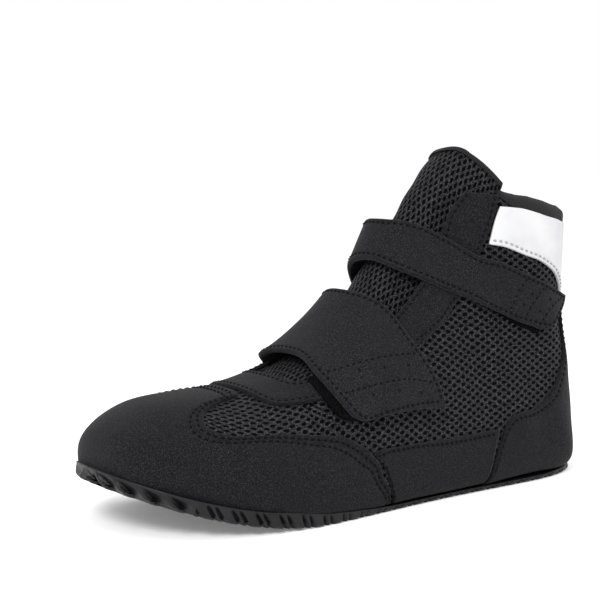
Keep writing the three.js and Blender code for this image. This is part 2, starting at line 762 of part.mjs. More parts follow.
// Padded knit roll on the collar's edge, from one side of the eyestay round the back to the other.
const rollProfile = [
  [1.0, -2.5],
  [1.1, 1.6],
  [0.3, 3.8],
  [-1.8, 5.0],
  [-4.2, 4.4],
  [-5.4, 1.8],
  [-5.0, -2.5],
];
const rollTurn = 116; // where the roll meets the eyestay, on either side
const rollGrid = [];
for (let k = 0; k <= 22; k += 1) {
  const turn = rollTurn * (k / 11 - 1);
  const edgeStation = collarStation(Math.abs(turn));
  const base = last(edgeStation, turn);
  const rise = last(edgeStation + 0.1, turn).sub(base).normalize();
  const out = last(edgeStation, turn, 1).sub(base);
  rollGrid.push(
    rollProfile.map(([outward, up]) =>
      base.clone().addScaledVector(out, outward).addScaledVector(rise, up),
    ),
  );
}
parts.collar_roll = stack(rollGrid).intersect(aboveCollar.translate([0, 0, clearance]));

// Tongue: one padded sheet under the eyestay, filling the throat and standing above the collar.
const tongueHalf = (station) => {
  const row = Math.max(1, tongueWidths.findIndex(([at]) => at >= station));
  const [fromStation, fromTurn] = tongueWidths[row - 1];
  const [toStation, toTurn] = tongueWidths[row];
  return fromTurn + ((toTurn - fromTurn) * (station - fromStation)) / (toStation - fromStation);
};
const tongueFace = (station, turn) => {
  const fromFront = Math.abs(turn - 180);
  const free = smooth(13.7, 14.1, station);
  const sunk = -upperWall - clearance * 3;
  const inThroat = ramp(bulgeStart, bulgeEnd, fromFront) * smooth(4.5, 5.0, station);
  const shown = Math.max(inThroat, free * 0.6);
  return sunk + (-tongueRecess - sunk) * shown;
};
const tongueRows = [3.9, 4.4, 5, 5.8, 7, 8.5, 10, 11.5, 12.8, 13.6, tongueTop - bindingDepth - 0.02].map((station) => [
  station,
  180 - tongueHalf(Math.min(station, 14)),
  station,
  180 + tongueHalf(Math.min(station, 14)),
]);
parts.tongue = panel({
  edges: tongueRows,
  along: 15,
  across: 10,
  inner: (station, turn) => tongueFace(station, turn) - tongueThickness,
  outer: tongueFace,
});
parts.tongue_binding = panel({
  edges: [
    [tongueTop - bindingDepth, 120.5, tongueTop - 0.05, 121.5],
    [tongueTop - bindingDepth, 135, tongueTop, 135],
    [tongueTop - bindingDepth, 180, tongueTop, 180],
    [tongueTop - bindingDepth, 225, tongueTop, 225],
    [tongueTop - bindingDepth, 239.5, tongueTop - 0.05, 238.5],
  ],
  along: 12,
  across: 1,
  inner: (station, turn) => tongueFace(14, turn) - tongueThickness - 0.5,
  outer: (station, turn) => tongueFace(14, turn) + 0.5,
});

// Loop patches that the strap ends press onto, and the two straps.
const onEyestay = clearance * 3 + eyestayThickness;
parts.pile_patch_instep = panel({
  edges: instepPileEdges,
  along: 6,
  across: 3,
  inner: onEyestay,
  outer: onEyestay + pileThickness,
});
parts.pile_patch_ankle = panel({
  edges: anklePileEdges,
  along: 6,
  across: 2,
  inner: clearance,
  outer: clearance + pileThickness,
});
const instepLift = onEyestay + pileThickness + clearance;
const instepUnder = (station, turn) => instepLift + instepStandOff * ramp(...instepLeaves, Math.abs(turn - 180));
parts.strap_instep = panel({
  edges: instepStrapEdges,
  along: 20,
  across: 4,
  inner: instepUnder,
  outer: (station, turn) => instepUnder(station, turn) + strapThickness,
});
const ankleUnder = (station, turn, share) =>
  onEyestay + ankleStandOff * (0.25 + 0.75 * share) * ramp(...ankleLeaves, Math.abs(turn - 180));
parts.strap_ankle = panel({
  edges: ankleStrapEdges,
  along: 24,
  across: 3,
  inner: ankleUnder,
  outer: (station, turn, share) => ankleUnder(station, turn, share) + strapThickness,
});

// Finishes. Suede is near black, mesh and knit are black, the collar panel is white.
const finish = (color, roughness) => new THREE.MeshStandardMaterial({ color, roughness, metalness: 0 });
const suede = finish(0x2b2b2e, 0.85);
const mesh = finish(0x1d1d1f, 0.9);
const rubber = finish(0x3a3a40, 0.45);
const pile = finish(0x121213, 1);
const knit = finish(0x222224, 0.95);
const white = finish(0xe8e8e8, 0.5);
const foam = finish(0x2a2a2c, 0.9);
const finishes = {
  outsole: rubber,
  insole: foam,
  upper: mesh,
  toe_cap: suede,
  side_panel_lateral: suede,
  side_panel_medial: suede,
  heel_counter: suede,
  collar_panel: white,
  eyestay: suede,
  collar_roll: knit,
  tongue: mesh,
  tongue_binding: knit,
  pile_patch_instep: pile,
  pile_patch_ankle: pile,
  strap_instep: suede,
  strap_ankle: suede,
};

const shoe = new THREE.Group();
for (const [name, material] of Object.entries(finishes)) {
  const { vertProperties, triVerts } = parts[name].getMesh();
  const geometry = new THREE.BufferGeometry();
  geometry.setAttribute("position", new THREE.BufferAttribute(new Float32Array(vertProperties), 3));
  geometry.setIndex(new THREE.BufferAttribute(new Uint32Array(triVerts), 1));
  const piece = new THREE.Mesh(geometry, material);
  piece.name = name;
  shoe.add(piece);
}
shoe.position.x = -heelPadAt * length;

export default shoe;
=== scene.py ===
"""High-top wrestling shoe for the left foot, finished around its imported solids.
Metres, +X to the toe, +Y outward."""
import math

import bpy
import numpy as np
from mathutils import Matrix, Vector


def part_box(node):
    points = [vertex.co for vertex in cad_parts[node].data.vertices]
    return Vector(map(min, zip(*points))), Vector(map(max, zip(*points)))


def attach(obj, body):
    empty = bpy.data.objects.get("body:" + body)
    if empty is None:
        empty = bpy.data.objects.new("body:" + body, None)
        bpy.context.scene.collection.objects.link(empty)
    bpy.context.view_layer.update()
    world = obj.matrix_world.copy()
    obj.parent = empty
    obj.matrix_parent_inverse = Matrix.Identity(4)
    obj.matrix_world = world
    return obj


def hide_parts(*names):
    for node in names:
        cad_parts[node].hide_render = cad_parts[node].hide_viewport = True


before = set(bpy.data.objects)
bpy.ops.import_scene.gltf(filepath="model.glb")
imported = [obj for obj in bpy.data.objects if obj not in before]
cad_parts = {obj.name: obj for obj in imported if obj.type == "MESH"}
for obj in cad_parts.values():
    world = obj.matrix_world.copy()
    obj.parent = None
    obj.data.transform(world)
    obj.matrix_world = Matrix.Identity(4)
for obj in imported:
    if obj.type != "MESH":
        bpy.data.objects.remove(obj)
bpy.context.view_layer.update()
mm = 0.001

# Outsole: one moulding of dark satin rubber, cupped round the foot and glued on.
# Its tread has two domed pads with wavy ribs, a flat disc at the waist and a rim of cut blocks.
sole_low, sole_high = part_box("outsole")
length = sole_high.x - sole_low.x
heel_back = sole_low.x
ball_width = 97 * mm
toe_spring = 22 * mm
spring_start = 0.66
sole_thickness = 2.4 * mm
rim_height = 7.3 * mm
edge_rounding = 1.6 * mm
clearance = 0.3 * mm

# Columns: share of length, outer and inner half width (shares of ball_width), rubber edge on the outer
# and the inner side (shares of rim_height).
sole_outline = [
    [0.0, 0.0, 0.0, 0.42, 0.42],
    [0.008, 0.125, 0.125, 0.42, 0.42],
    [0.03, 0.212, 0.212, 0.42, 0.42],
    [0.08, 0.29, 0.29, 0.4, 0.42],
    [0.15, 0.334, 0.328, 0.3, 0.45],
    [0.25, 0.358, 0.334, 0.3, 0.62],
    [0.35, 0.382, 0.316, 0.3, 0.95],
    [0.45, 0.418, 0.31, 0.3, 1.05],
    [0.55, 0.466, 0.36, 0.42, 1.0],
    [0.65, 0.511, 0.448, 0.72, 1.0],
    [0.72, 0.523, 0.5, 1.0, 1.0],
    [0.8, 0.503, 0.515, 1.0, 1.0],
    [0.88, 0.428, 0.486, 1.0, 1.0],
    [0.94, 0.32, 0.412, 1.0, 1.0],
    [0.98, 0.186, 0.294, 1.0, 1.0],
    [0.995, 0.07, 0.19, 1.0, 1.0],
    [1.0, -0.062, 0.062, 1.0, 1.0],
]


def between(rows, at, before=None):
    """Smooth curve through the rows of a table, at fractional row numbers."""
    rows = np.asarray(rows, float)
    first_row = 2 * rows[0] - rows[1] if before is None else np.asarray(before, float)
    padded = np.vstack([first_row, rows, 2 * rows[-1] - rows[-2]])
    at = np.asarray(at, float)
    first = np.clip(np.floor(at).astype(int), 0, len(rows) - 2)
    t = (at - first)[..., None]
    a, b, c, d = (padded[first + k] for k in range(4))
    return 0.5 * (2 * b + (c - a) * t + (2 * a - 5 * b + 4 * c - d) * t**2 + (3 * b - a - 3 * c + d) * t**3)


def smooth(start, end, value):
    """0 before start, 1 after end and a soft step between them, in either direction."""
    share = np.clip((value - start) / (end - start), 0, 1)
    return share * share * (3 - 2 * share)


def ridge(value, centre, width):
    """1 on a line and 0 away from it, with soft flanks."""
    return np.exp(-(((value - centre) / (width / 2)) ** 4))


def spring_rise(x):
    past = np.maximum(0, ((x - heel_back) / length - spring_start) / (1 - spring_start))
    return toe_spring * past**1.8


def run_along(line):
    """Distance of each point of a line from its start, along it."""
    return np.concatenate([[0], np.cumsum(np.linalg.norm(np.diff(line, axis=0), axis=1))])


def outline_side(side, count):
    """Even points along one side of the sole from the heel, their outward normals and the rubber's height."""
    column = 1 if side > 0 else 2
    fine = np.linspace(0, len(sole_outline) - 1, 1200)
    rows = between(sole_outline, fine)
    x, y = rows[:, 0] * length, side * rows[:, column] * ball_width
    run = run_along(np.column_stack([x, y]))
    even = np.linspace(0, run[-1], count)
    points = np.column_stack([np.interp(even, run, x) + heel_back, np.interp(even, run, y)])
    tangent = np.gradient(points, axis=0)
    tangent[0], tangent[-1] = (0, side), (0, -side)
    normal = side * np.column_stack([-tangent[:, 1], tangent[:, 0]])
    normal /= np.linalg.norm(normal, axis=1)[:, None]
    return points, normal, np.interp(even, run, rows[:, column + 2]) * rim_height


def quads_of(rows, columns, looped=False):
    """Corner numbers of the faces of a grid of points, closed on itself across the columns if looped."""
    i, j = np.meshgrid(np.arange(rows - 1), np.arange(columns if looped else columns - 1), indexing="ij")
    a = i * columns + j
    b = i * columns + (j + 1) % columns
    return np.stack([a, b, b + columns, a + columns], axis=-1).reshape(-1, 4)


def mesh_piece(name, points, faces, material, cloth=None):
    """An object from arrays of points and faces, with cloth coordinates in metres for its weave."""
    points, faces = np.asarray(points, float).reshape(-1, 3), np.asarray(faces)
    data = bpy.data.meshes.new(name)
    data.vertices.add(len(points))
    data.vertices.foreach_set("co", points.ravel())
    data.loops.add(faces.size)
    data.loops.foreach_set("vertex_index", faces.ravel())
    data.polygons.add(len(faces))
    data.polygons.foreach_set("loop_start", np.arange(len(faces)) * faces.shape[1])
    data.polygons.foreach_set("use_smooth", np.full(len(faces), True))
    data.update(calc_edges=True)
    if cloth is not None:
        layer = data.uv_layers.new(name="cloth")
        layer.data.foreach_set("uv", np.asarray(cloth, float).reshape(-1, 2)[faces.ravel()].ravel())
    data.validate()
    data.materials.append(material)
    piece = bpy.data.objects.new(name, data)
    bpy.context.scene.collection.objects.link(piece)
    return piece


def settle(piece, slot, *nodes):
    """The piece rides on the shoe's one body and stands for its solids. Its slot is not used."""
    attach(piece, "root")
    if nodes:
        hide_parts(*nodes)
    return piece


def new_material(name, color, roughness, **sockets):
    """A material with its shader's plain values set, and its nodes and shader to build on."""
    material = bpy.data.materials.new(name)
    material.use_nodes = True
    shader = material.node_tree.nodes["Principled BSDF"]
    shader.inputs["Base Color"].default_value = (*color, 1)
    shader.inputs["Roughness"].default_value = roughness
    for socket, value in sockets.items():
        shader.inputs[socket.replace("_", " ")].default_value = value
    return material, material.node_tree, shader


def add_node(tree, kind, settings=None, **inputs):
    """A node with its settings and inputs. An input is a number, a colour or another node's output."""
    node = tree.nodes.new(kind)
    for name, value in (settings or {}).items():
        setattr(node, name, value)
    for name, value in inputs.items():
        socket = node.inputs[int(name[1:])] if name[0] == "_" else node.inputs[name.replace("_", " ")]
        if isinstance(value, bpy.types.NodeSocket):
            tree.links.new(value, socket)
        else:
            socket.default_value = value
    return node.outputs[0]


def grain(tree, size, detail=2.0, where=None):
    """Noise whose lumps are about the given size, in the object's own metres."""
    place = where or add_node(tree, "ShaderNodeTexCoord").node.outputs["Object"]
    return add_node(tree, "ShaderNodeTexNoise", Vector=place, Scale=1 / size, Detail=detail)


def blend_colors(tree, share, first, second):
    mixed = add_node(tree, "ShaderNodeMix", {"data_type": "RGBA"}, Factor=share)
    node = mixed.node
    for slot, value in ((6, first), (7, second)):
        if isinstance(value, bpy.types.NodeSocket):
            tree.links.new(value, node.inputs[slot])
        else:
            node.inputs[slot].default_value = (*value, 1)
    return node.outputs[2]


def paint(tree, shader, share, first, second):
    """The shader's colour, from the first to the second as the share goes from 0 to 1."""
    tree.links.new(blend_colors(tree, share, first, second), shader.inputs["Base Color"])


def spread(tree, value, low, high, to_low=0.0, to_high=1.0):
    """A value stretched from one range to another and held inside it."""
    return add_node(
        tree, "ShaderNodeMapRange", Value=value, From_Min=low, From_Max=high, To_Min=to_low, To_Max=to_high
    )


def raise_surface(tree, shader, height, depth, strength=1.0, under=None):
    """Bump from a height of 0 to 1 and a depth in metres, over an earlier bump if given."""
    bump = tree.nodes.new("ShaderNodeBump")
    bump.inputs["Strength"].default_value = strength
    bump.inputs["Distance"].default_value = depth
    tree.links.new(height, bump.inputs["Height"])
    if under is not None:
        tree.links.new(under, bump.inputs["Normal"])
    tree.links.new(bump.outputs["Normal"], shader.inputs["Normal"])
    return bump.outputs["Normal"]


def rubber_finish():
    """Moulded rubber: clouded near black, satin, with a fine tooth."""
    base = (0.006, 0.006, 0.007)
    material, tree, shader = new_material("dark satin rubber", base, 0.42, Specular_IOR_Level=0.25)
    shade = spread(tree, grain(tree, 9 * mm, 4), 0.35, 0.7)
    paint(tree, shader, shade, (0.0035, 0.0035, 0.0042), (0.008, 0.008, 0.0095))
    tree.links.new(spread(tree, grain(tree, 3 * mm, 5), 0.3, 0.7, 0.36, 0.56), shader.inputs["Roughness"])
    raise_surface(tree, shader, grain(tree, 0.5 * mm, 3), 0.05 * mm, 0.5)
    return material


# Pads: centre along (share of length) and across (share of ball_width), then half sizes in the same shares.
heel_pad = (0.23, 0.0, 0.061, 0.155)
waist_pad = (0.5, 0.05, 0.068, 0.145)
ball_pad = (0.82, -0.015, 0.075, 0.2)
tread_depth = 1.0 * mm
groove_inset = 10 * mm
pair_pitch = 11 * mm
scoop_pitch = 12.5 * mm
scoops_from = 0.89
slot_depth = 3 * mm


def pad_view(x, y, pad):
    """Distance from a pad's centre as a share of its oval, and the angle round it."""
    along, across = x - heel_back - pad[0] * length, y - pad[1] * ball_width
    return np.hypot(along / (pad[2] * length), across / (pad[3] * ball_width)), np.arctan2(
        across / (pad[3] * ball_width), along / (pad[2] * length)
    )


def pad_relief(x, y, pad, ribs, wave):
    """Depth of a domed pad with its ring of blocks, and of the wavy ribs that run out from it."""
    out, angle = pad_view(x, y, pad)
    lens = 0.9 * smooth(0.0, 0.62, out)
    ring = np.where(out > 0.62, 0.15, lens)
    ring = np.maximum(ring, ridge(out, 0.64, 0.1))
    gaps = ridge(np.abs(np.sin(3 * angle + 0.4)), 0.0, 0.16) * (out > 0.66) * (out < 1.0)
    ring = np.maximum(ring, 0.8 * gaps)
    ring = np.maximum(ring, ridge(out, 1.0, 0.09))
    ring = np.where(out > 1.1, 0.1, ring)
    bend = wave * np.sin(3.0 * (out - 1.2)) * np.minimum(1, (out - 1.15) * 1.2)
    fan = 0.5 + 0.5 * np.cos(ribs * (angle + bend))
    ribbed = smooth(0.35, 0.75, fan)
    return np.where(out < 1.18, ring, ribbed * smooth(1.18, 1.3, out) + 0.1)


def tread_depth_at(x, y, inset):
    """How far the tread is cut up into the sole at each point, in metres."""
    share = (x - heel_back) / length
    heel = pad_relief(x, y, heel_pad, 26, 0.16)
    ball = pad_relief(x, y, ball_pad, 34, 0.14)
    out, angle = pad_view(x, y, waist_pad)
    disc = np.where(out < 1.0, 0.25, 0.1)
    disc = np.maximum(disc, ridge(out, 1.0, 0.1))
    disc = np.maximum(disc, 0.9 * (out > 1.1) * smooth(1.12, 1.2, out))
    side = y - waist_pad[1] * ball_width
    bars = smooth(-0.2, 0.3, np.cos((share - waist_pad[0]) * length / (5.2 * mm) * 2 * math.pi))
    beside = (np.abs(share - waist_pad[0]) < 0.05) & (out > 1.2)
    disc = np.where(beside, 0.9 * (1 - bars), disc)
    swing = 0.03 * np.sin(side / (0.5 * ball_width) * 2.6 * math.pi)
    fore = share - (waist_pad[0] + 0.105 + swing)
    aft = share - (waist_pad[0] - 0.105 - swing)
    waves = np.maximum(ridge(fore, 0, 0.034), ridge(aft, 0, 0.034))
    waist = np.where(out > 1.12, disc * (1 - waves), disc)
    front = smooth(0.0, 0.012, fore)
    back = smooth(0.0, -0.012, aft)
    depth = waist * (1 - front) * (1 - back) + ball * front + heel * back
    depth = np.where((front > 0.5) | (back > 0.5), np.minimum(depth, 1 - waves), depth)
    depth = depth * smooth(groove_inset - 1.2 * mm, groove_inset + 0.6 * mm, inset)
    depth = np.maximum(depth, 1.15 * ridge(inset, groove_inset, 2.4 * mm))
    return tread_depth * depth


sole_rows = 540
sole_columns = 128
outer_line, outer_normal, outer_rim = outline_side(1, sole_rows)
inner_line, inner_normal, inner_rim = outline_side(-1, sole_rows)


def distance_to_edge(flat):
    """Distance in from the sole's outline at each point of the plan."""
    line = np.vstack([outer_line[::3], inner_line[::3]])
    nearest = np.full(len(flat), 1.0)
    for point in line:
        np.minimum(nearest, np.hypot(flat[:, 0] - point[0], flat[:, 1] - point[1]), out=nearest)
    return nearest


# Rim: the outline once round from the heel. Leaning slots cut it into blocks, paired as far as the ball
# and then single scoops round the toe, each widest at the bottom edge.
rim_line = np.vstack([outer_line, inner_line[-2:0:-1]])
rim_normal = np.vstack([outer_normal, inner_normal[-2:0:-1]])
rim_top = np.concatenate([outer_rim, inner_rim[-2:0:-1]])
full_height = np.maximum(rim_top, sole_thickness)
rim_run = np.concatenate([run_along(outer_line), run_along(inner_line)[-2:0:-1]])
# Pairs lean away from the place where their lean turns, scoops lean one way.
pair_lean = 4.5 * mm
lean_turns_at = 0.62
scoop_lean = 4 * mm


def slot_cut(rise):
    """Depth of the slots round the rim, in metres, at a rise given as a share of the rim's height."""
    forward = (rim_line[:, 0] - heel_back) / length
    run = rim_run - rise * pair_lean * np.clip((forward - lean_turns_at) * 6, -1, 1)
    pair_shift = (run / pair_pitch) % 1 - 0.5
    wide = 0.2 * (1 - 0.6 * rise)
    pairs = np.maximum(ridge(pair_shift, -0.17, wide), ridge(pair_shift, 0.17, wide)) * smooth(1.0, 0.6, rise)
    past_wall = ((scoop_lean * rise - run) / scoop_pitch) % 1
    scoops = smooth(0.0, 0.06, past_wall) * np.maximum(0, 1 - (past_wall / 0.8) ** 2)
    cut = np.where(forward > scoops_from, 1.4 * scoops * smooth(0.95, 0.3, rise), pairs)
    return slot_depth * cut * np.clip((rim_top / rim_height - 0.2) * 2, 0.4, 1)


across_sole = np.linspace(0, 1, sole_columns)[None, :, None]
slots_at_bottom = slot_cut(0.0)
outer_cut = slots_at_bottom[:sole_rows]
inner_cut = np.concatenate([outer_cut[:1], slots_at_bottom[sole_rows:][::-1], outer_cut[-1:]])
bottom_outer = outer_line - outer_normal * (edge_rounding + outer_cut)[:, None]
bottom_inner = inner_line - inner_normal * (edge_rounding + inner_cut)[:, None]
bottom_plan = bottom_outer[:, None] * (1 - across_sole) + bottom_inner[:, None] * across_sole
bottom_flat = bottom_plan.reshape(-1, 2)
edge_inset = distance_to_edge(bottom_flat)
tread = tread_depth_at(bottom_flat[:, 0], bottom_flat[:, 1], edge_inset)

# The rim's rounded bottom: insets and rises in millimetres. Its wall: shares of the height and insets.
bottom_rings = [[0.9, 0.25], [0.4, 0.7], [0.08, 1.2]]
wall_rings = [[0.22, 0.0], [0.34, 0.04], [0.46, 0.08], [0.58, 0.14], [0.7, 0.2], [0.82, 0.3]]
wall_rings += [[0.92, 0.35], [0.97, 0.4]]
even = np.ones(len(rim_line))
rings = [(edge_rounding + slots_at_bottom, 0 * even)]
rings += [(inset * mm + slots_at_bottom, rise * mm * even) for inset, rise in bottom_rings]
for share, inset in wall_rings:
    rise = np.maximum(1.3 * mm + 0.3 * mm * share, full_height * share)
    rings.append((inset * mm + slot_cut(share), rise))
rings += [(0.8 * mm * even, full_height), (1.6 * mm * even, full_height - 0.4 * mm)]
rings.append((4.0 * mm * even, sole_thickness * even))
rim_points = []
for inset, rise in rings:
    plan = rim_line - rim_normal * inset[:, None]
    rim_points.append(np.column_stack([plan, spring_rise(plan[:, 0]) + rise]))
bottom_points = np.column_stack([bottom_flat, spring_rise(bottom_flat[:, 0]) + tread])
rim_base = len(bottom_points)
top_plan = bottom_plan[:, ::8]
top_flat = top_plan.reshape(-1, 2)
top_points = np.column_stack([top_flat, spring_rise(top_flat[:, 0]) + sole_thickness - 0.2 * mm])
top_base = rim_base + len(rings) * len(rim_line)
outsole = mesh_piece(
    "outsole_rubber",
    np.vstack([bottom_points, *rim_points, top_points]),
    np.vstack(
        [
            quads_of(sole_rows, sole_columns),
            rim_base + quads_of(len(rings), len(rim_line), looped=True),
            top_base + quads_of(sole_rows, top_plan.shape[1])[:, ::-1],
        ]
    ),
    rubber_finish(),
)
settle(outsole, "rubber", "outsole")

# Upper: a hollow bootee of black mesh over thin foam, cut open at the throat and the collar.
# It is drawn on the last, a fan of sections from the toe tip to above the ankle.
heel_width = 66 * mm
instep_height = 84 * mm
shaft_height = 173 * mm
upper_wall = 2.2 * mm

# Toe to instep. Columns: foot and top of the section (shares of length), height (share of instep_height),
# half widths (shares of ball_width), height of the widest point, squareness of three corners, sideways shift.
foot_sections = [
    [0.98, 0.98, 0.34, 0.0, 0.0, 0.5, 2.8, 2.8, 2.2, -0.072],
    [0.966, 0.967, 0.502, 0.258, 0.247, 0.42, 3.2, 3.2, 2.2, -0.072],
    [0.91, 0.9, 0.636, 0.392, 0.381, 0.38, 4.6, 4.6, 2.2, -0.062],
    [0.821, 0.811, 0.679, 0.482, 0.454, 0.36, 6.5, 6.0, 2.2, -0.031],
    [0.714, 0.711, 0.72, 0.51, 0.482, 0.34, 8.0, 6.5, 2.2, -0.005],
    [0.607, 0.625, 0.827, 0.485, 0.433, 0.34, 9.0, 5.0, 2.2, 0.0],
    [0.493, 0.557, 1.0, 0.433, 0.371, 0.34, 9.5, 3.6, 2.2, 0.01],
]
# Heel and shaft. Columns: back of the section (share of length, of shaft_height), its front (the same),
# half widths (shares of heel_width), then as above.
shaft_sections = [
    [0.375, 0.0, 0.504, 0.572, 0.583, 0.508, 0.32, 9.0, 3.4, 2.2, 0.01],
    [0.257, 0.0, 0.464, 0.647, 0.553, 0.515, 0.3, 7.5, 4.4, 2.2, 0.0],
    [0.143, 0.0, 0.432, 0.717, 0.518, 0.505, 0.28, 5.5, 5.0, 2.2, 0.0],
    [0.053, 0.0, 0.4, 0.786, 0.488, 0.48, 0.3, 4.6, 4.6, 2.2, 0.0],
    [0.017, 0.048, 0.375, 0.844, 0.48, 0.472, 0.36, 3.2, 3.2, 2.2, 0.0],
    [0.012, 0.185, 0.35, 0.896, 0.48, 0.472, 0.44, 2.4, 2.4, 2.2, 0.0],
    [0.024, 0.335, 0.321, 0.948, 0.478, 0.465, 0.5, 2.2, 2.2, 2.2, 0.0],
    [0.037, 0.474, 0.289, 1.0, 0.482, 0.467, 0.52, 2.1, 2.1, 2.2, 0.0],
    [0.039, 0.613, 0.254, 1.058, 0.484, 0.469, 0.52, 2.1, 2.1, 2.2, 0.0],
    [0.042, 0.751, 0.218, 1.116, 0.484, 0.469, 0.52, 2.1, 2.1, 2.2, 0.0],
    [0.045, 0.89, 0.182, 1.173, 0.484, 0.469, 0.52, 2.1, 2.1, 2.2, 0.0],
]
last_rows = []
for foot, top, height, outer, inner, *corners, shift in foot_sections:
    foot_x, top_z = heel_back + foot * length, height * instep_height
    foot_z = top_z if outer == 0 else float(spring_rise(foot_x)) + sole_thickness + clearance
    ends = [foot_x, foot_z, heel_back + top * length, top_z]
    last_rows.append([*ends, outer * ball_width, inner * ball_width, *corners, shift * ball_width])
for back, rise, front, height, outer, inner, *corners, shift in shaft_sections:
    foot_z = max(sole_thickness + clearance, rise * shaft_height)
    ends = [heel_back + back * length, foot_z, heel_back + front * length, height * shaft_height]
    last_rows.append([*ends, outer * heel_width, inner * heel_width, *corners, shift * ball_width])
foot_x, foot_z, top_x, top_z, outer, inner, *rest = last_rows[1]
beyond_tip = [top_x, top_z, foot_x, foot_z, -outer, -inner, *rest]
top_station = len(last_rows) - 1

# Creases, as soft troughs and ridges from one place on the last to another. Columns: station and turn of
# each end, width and depth in millimetres.
creases = [
    [5.2, 96, 5.9, 124, 5.0, -0.9],
    [5.7, 94, 6.4, 122, 5.0, 0.6],
    [5.2, 264, 5.9, 236, 5.0, -0.9],
    [8.6, 96, 9.6, 138, 6.0, -1.0],
    [9.3, 80, 9.9, 122, 7.0, 0.9],
    [8.6, 264, 9.6, 222, 6.0, -1.0],
    [9.3, 280, 9.9, 238, 7.0, 0.9],
    [11.3, 20, 11.5, 88, 8.0, -0.8],
    [11.3, 340, 11.5, 272, 8.0, -0.8],
    [12.7, 30, 12.5, 84, 7.0, 0.7],
    [14.4, 18, 15.6, 30, 5.0, -0.5],
    [14.3, 60, 15.0, 74, 6.0, 0.5],
    [3.2, 150, 3.4, 210, 8.0, -0.5],
]


def on_last(station, turn):
    """Points on the plain last, at a station from the toe and a turn in radians."""
    row = np.moveaxis(between(last_rows, station, before=beyond_tip), -1, 0)
    foot_x, foot_z, top_x, top_z, outer, inner, widest, square_out, square_in, square_top, shift = row
    across, up = np.sin(turn), np.cos(turn)
    low, outward = up > 0, across >= 0
    square = np.where(low, np.where(outward, square_out, square_in), square_top)
    reach = (np.abs(up) ** square + np.abs(across) ** square) ** (-1 / square)
    rise = widest - np.where(low, widest, 1 - widest) * up * reach
    half = np.where(outward, outer, inner)
    x, z = foot_x + (top_x - foot_x) * rise, foot_z + (top_z - foot_z) * rise
    return np.stack([x, shift + half * across * reach, z], axis=-1)


def crease_height(points):
    """Height of the creases at points on the last."""
    height = np.zeros(points.shape[:-1])
    for station_a, turn_a, station_b, turn_b, width, depth in creases:
        share = np.linspace(0, 1, 9)
        turn = np.radians(turn_a + (turn_b - turn_a) * share)
        path = on_last(station_a + (station_b - station_a) * share, turn)
        nearest = np.full(height.shape, 1.0)
        for a, b in zip(path[:-1], path[1:]):
            t = np.clip(((points - a) @ (b - a)) / ((b - a) @ (b - a)), 0, 1)
            np.minimum(nearest, np.linalg.norm(points - a - t[..., None] * (b - a), axis=-1), out=nearest)
        height += depth * mm * np.exp(-((nearest / (width * mm)) ** 2))
    return height


def skin(station, turn_degrees, offset=0.0):
    """Points at a distance out from the last, along its normals and over its creases."""
    station, turn = np.broadcast_arrays(np.asarray(station, float), np.radians(turn_degrees))
    point = on_last(station, turn)
    step = 0.004
    middle = np.clip(station, 0.03, top_station - 0.03)
    along = on_last(middle + step, turn) - on_last(middle - step, turn)
    around = on_last(middle, turn + step) - on_last(middle, turn - step)
    normal = np.cross(along, around)
    normal /= np.linalg.norm(normal, axis=-1)[..., None]
    return point + normal * (np.asarray(offset) + crease_height(point))[..., None]


def cloth_lengths(grid):
    """Distances along both ways of a grid of points, from its middle, for the weave."""
    down = np.linalg.norm(np.diff(grid, axis=0), axis=-1)
    along = np.vstack([np.zeros((1, grid.shape[1])), np.cumsum(down, axis=0)])
    sideways = np.linalg.norm(np.diff(grid, axis=1), axis=-1)
    across = np.hstack([np.zeros((grid.shape[0], 1)), np.cumsum(sideways, axis=1)])
    middle = grid.shape[1] // 2
    return np.stack([across - across[:, [middle]], along], axis=-1)


def closed_sheet(name, outer_grid, inner_grid, material):
    """A closed piece between an outer and an inner grid of points."""
    rows, columns = outer_grid.shape[:2]
    size = rows * columns
    face = quads_of(rows, columns)
    ring = np.concatenate(
        [
            np.arange(columns - 1),
            columns - 1 + columns * np.arange(rows - 1),
            size - 1 - np.arange(columns - 1),
            (rows - 1 - np.arange(rows - 1)) * columns,
        ]
    )
    after = np.roll(ring, -1)
    rim = np.stack([ring, ring + size, after + size, after], axis=-1)
    cloth = cloth_lengths(outer_grid)
    points = np.vstack([outer_grid.reshape(-1, 3), inner_grid.reshape(-1, 3)])
    both = np.vstack([cloth.reshape(-1, 2)] * 2)
    return mesh_piece(name, points, np.vstack([face, face[:, ::-1] + size, rim]), material, both)


# Top edge of the upper. Columns: turn, station.
collar_edge = [
    [0, 16.17],
    [20, 16.12],
    [44, 15.88],
    [66, 15.42],
    [85, 14.88],
    [101, 14.36],
    [110, 13.98],
    [121, 13.72],
    [131, 13.2],
    [141, 12.72],
    [180, 12.2],
]
# Edges of every panel lie on the last. Columns: station and turn of one edge, station and turn of the other.
eyestay_edges = [
    [12.7, 141, 13.7, 121],
    [11.7, 145, 12.77, 121],
    [10.85, 145, 11.6, 125.5],
    [9.8, 143.5, 10.5, 127.5],
    [8.8, 142, 9.38, 127.5],
    [7.5, 141, 8.0, 125],
    [6.4, 143, 6.8, 126],
    [5.6, 147, 5.7, 130],
    [5.02, 150, 4.85, 134],
    [4.66, 152, 4.25, 140],
    [4.46, 158, 3.87, 145],
    [4.4, 168, 3.7, 158],
    [4.38, 180, 3.64, 180],
]


def collar_station(turn):
    """Where the upper's top edge lies at a turn."""
    table = np.array(collar_edge)
    return np.interp(np.abs(turn), table[:, 0], table[:, 1])


def throat_turn(station):
    """How far round from the heel the upper reaches before the throat opens."""
    table = np.array([row[:2] for row in eyestay_edges[::-1]])
    table[0] = [4.36, 180]
    reach = np.interp(station, np.append(table[:, 0], 15.0), np.append(table[:, 1], 133))
    return reach - np.where(station > 4.4, 1.5, 0)


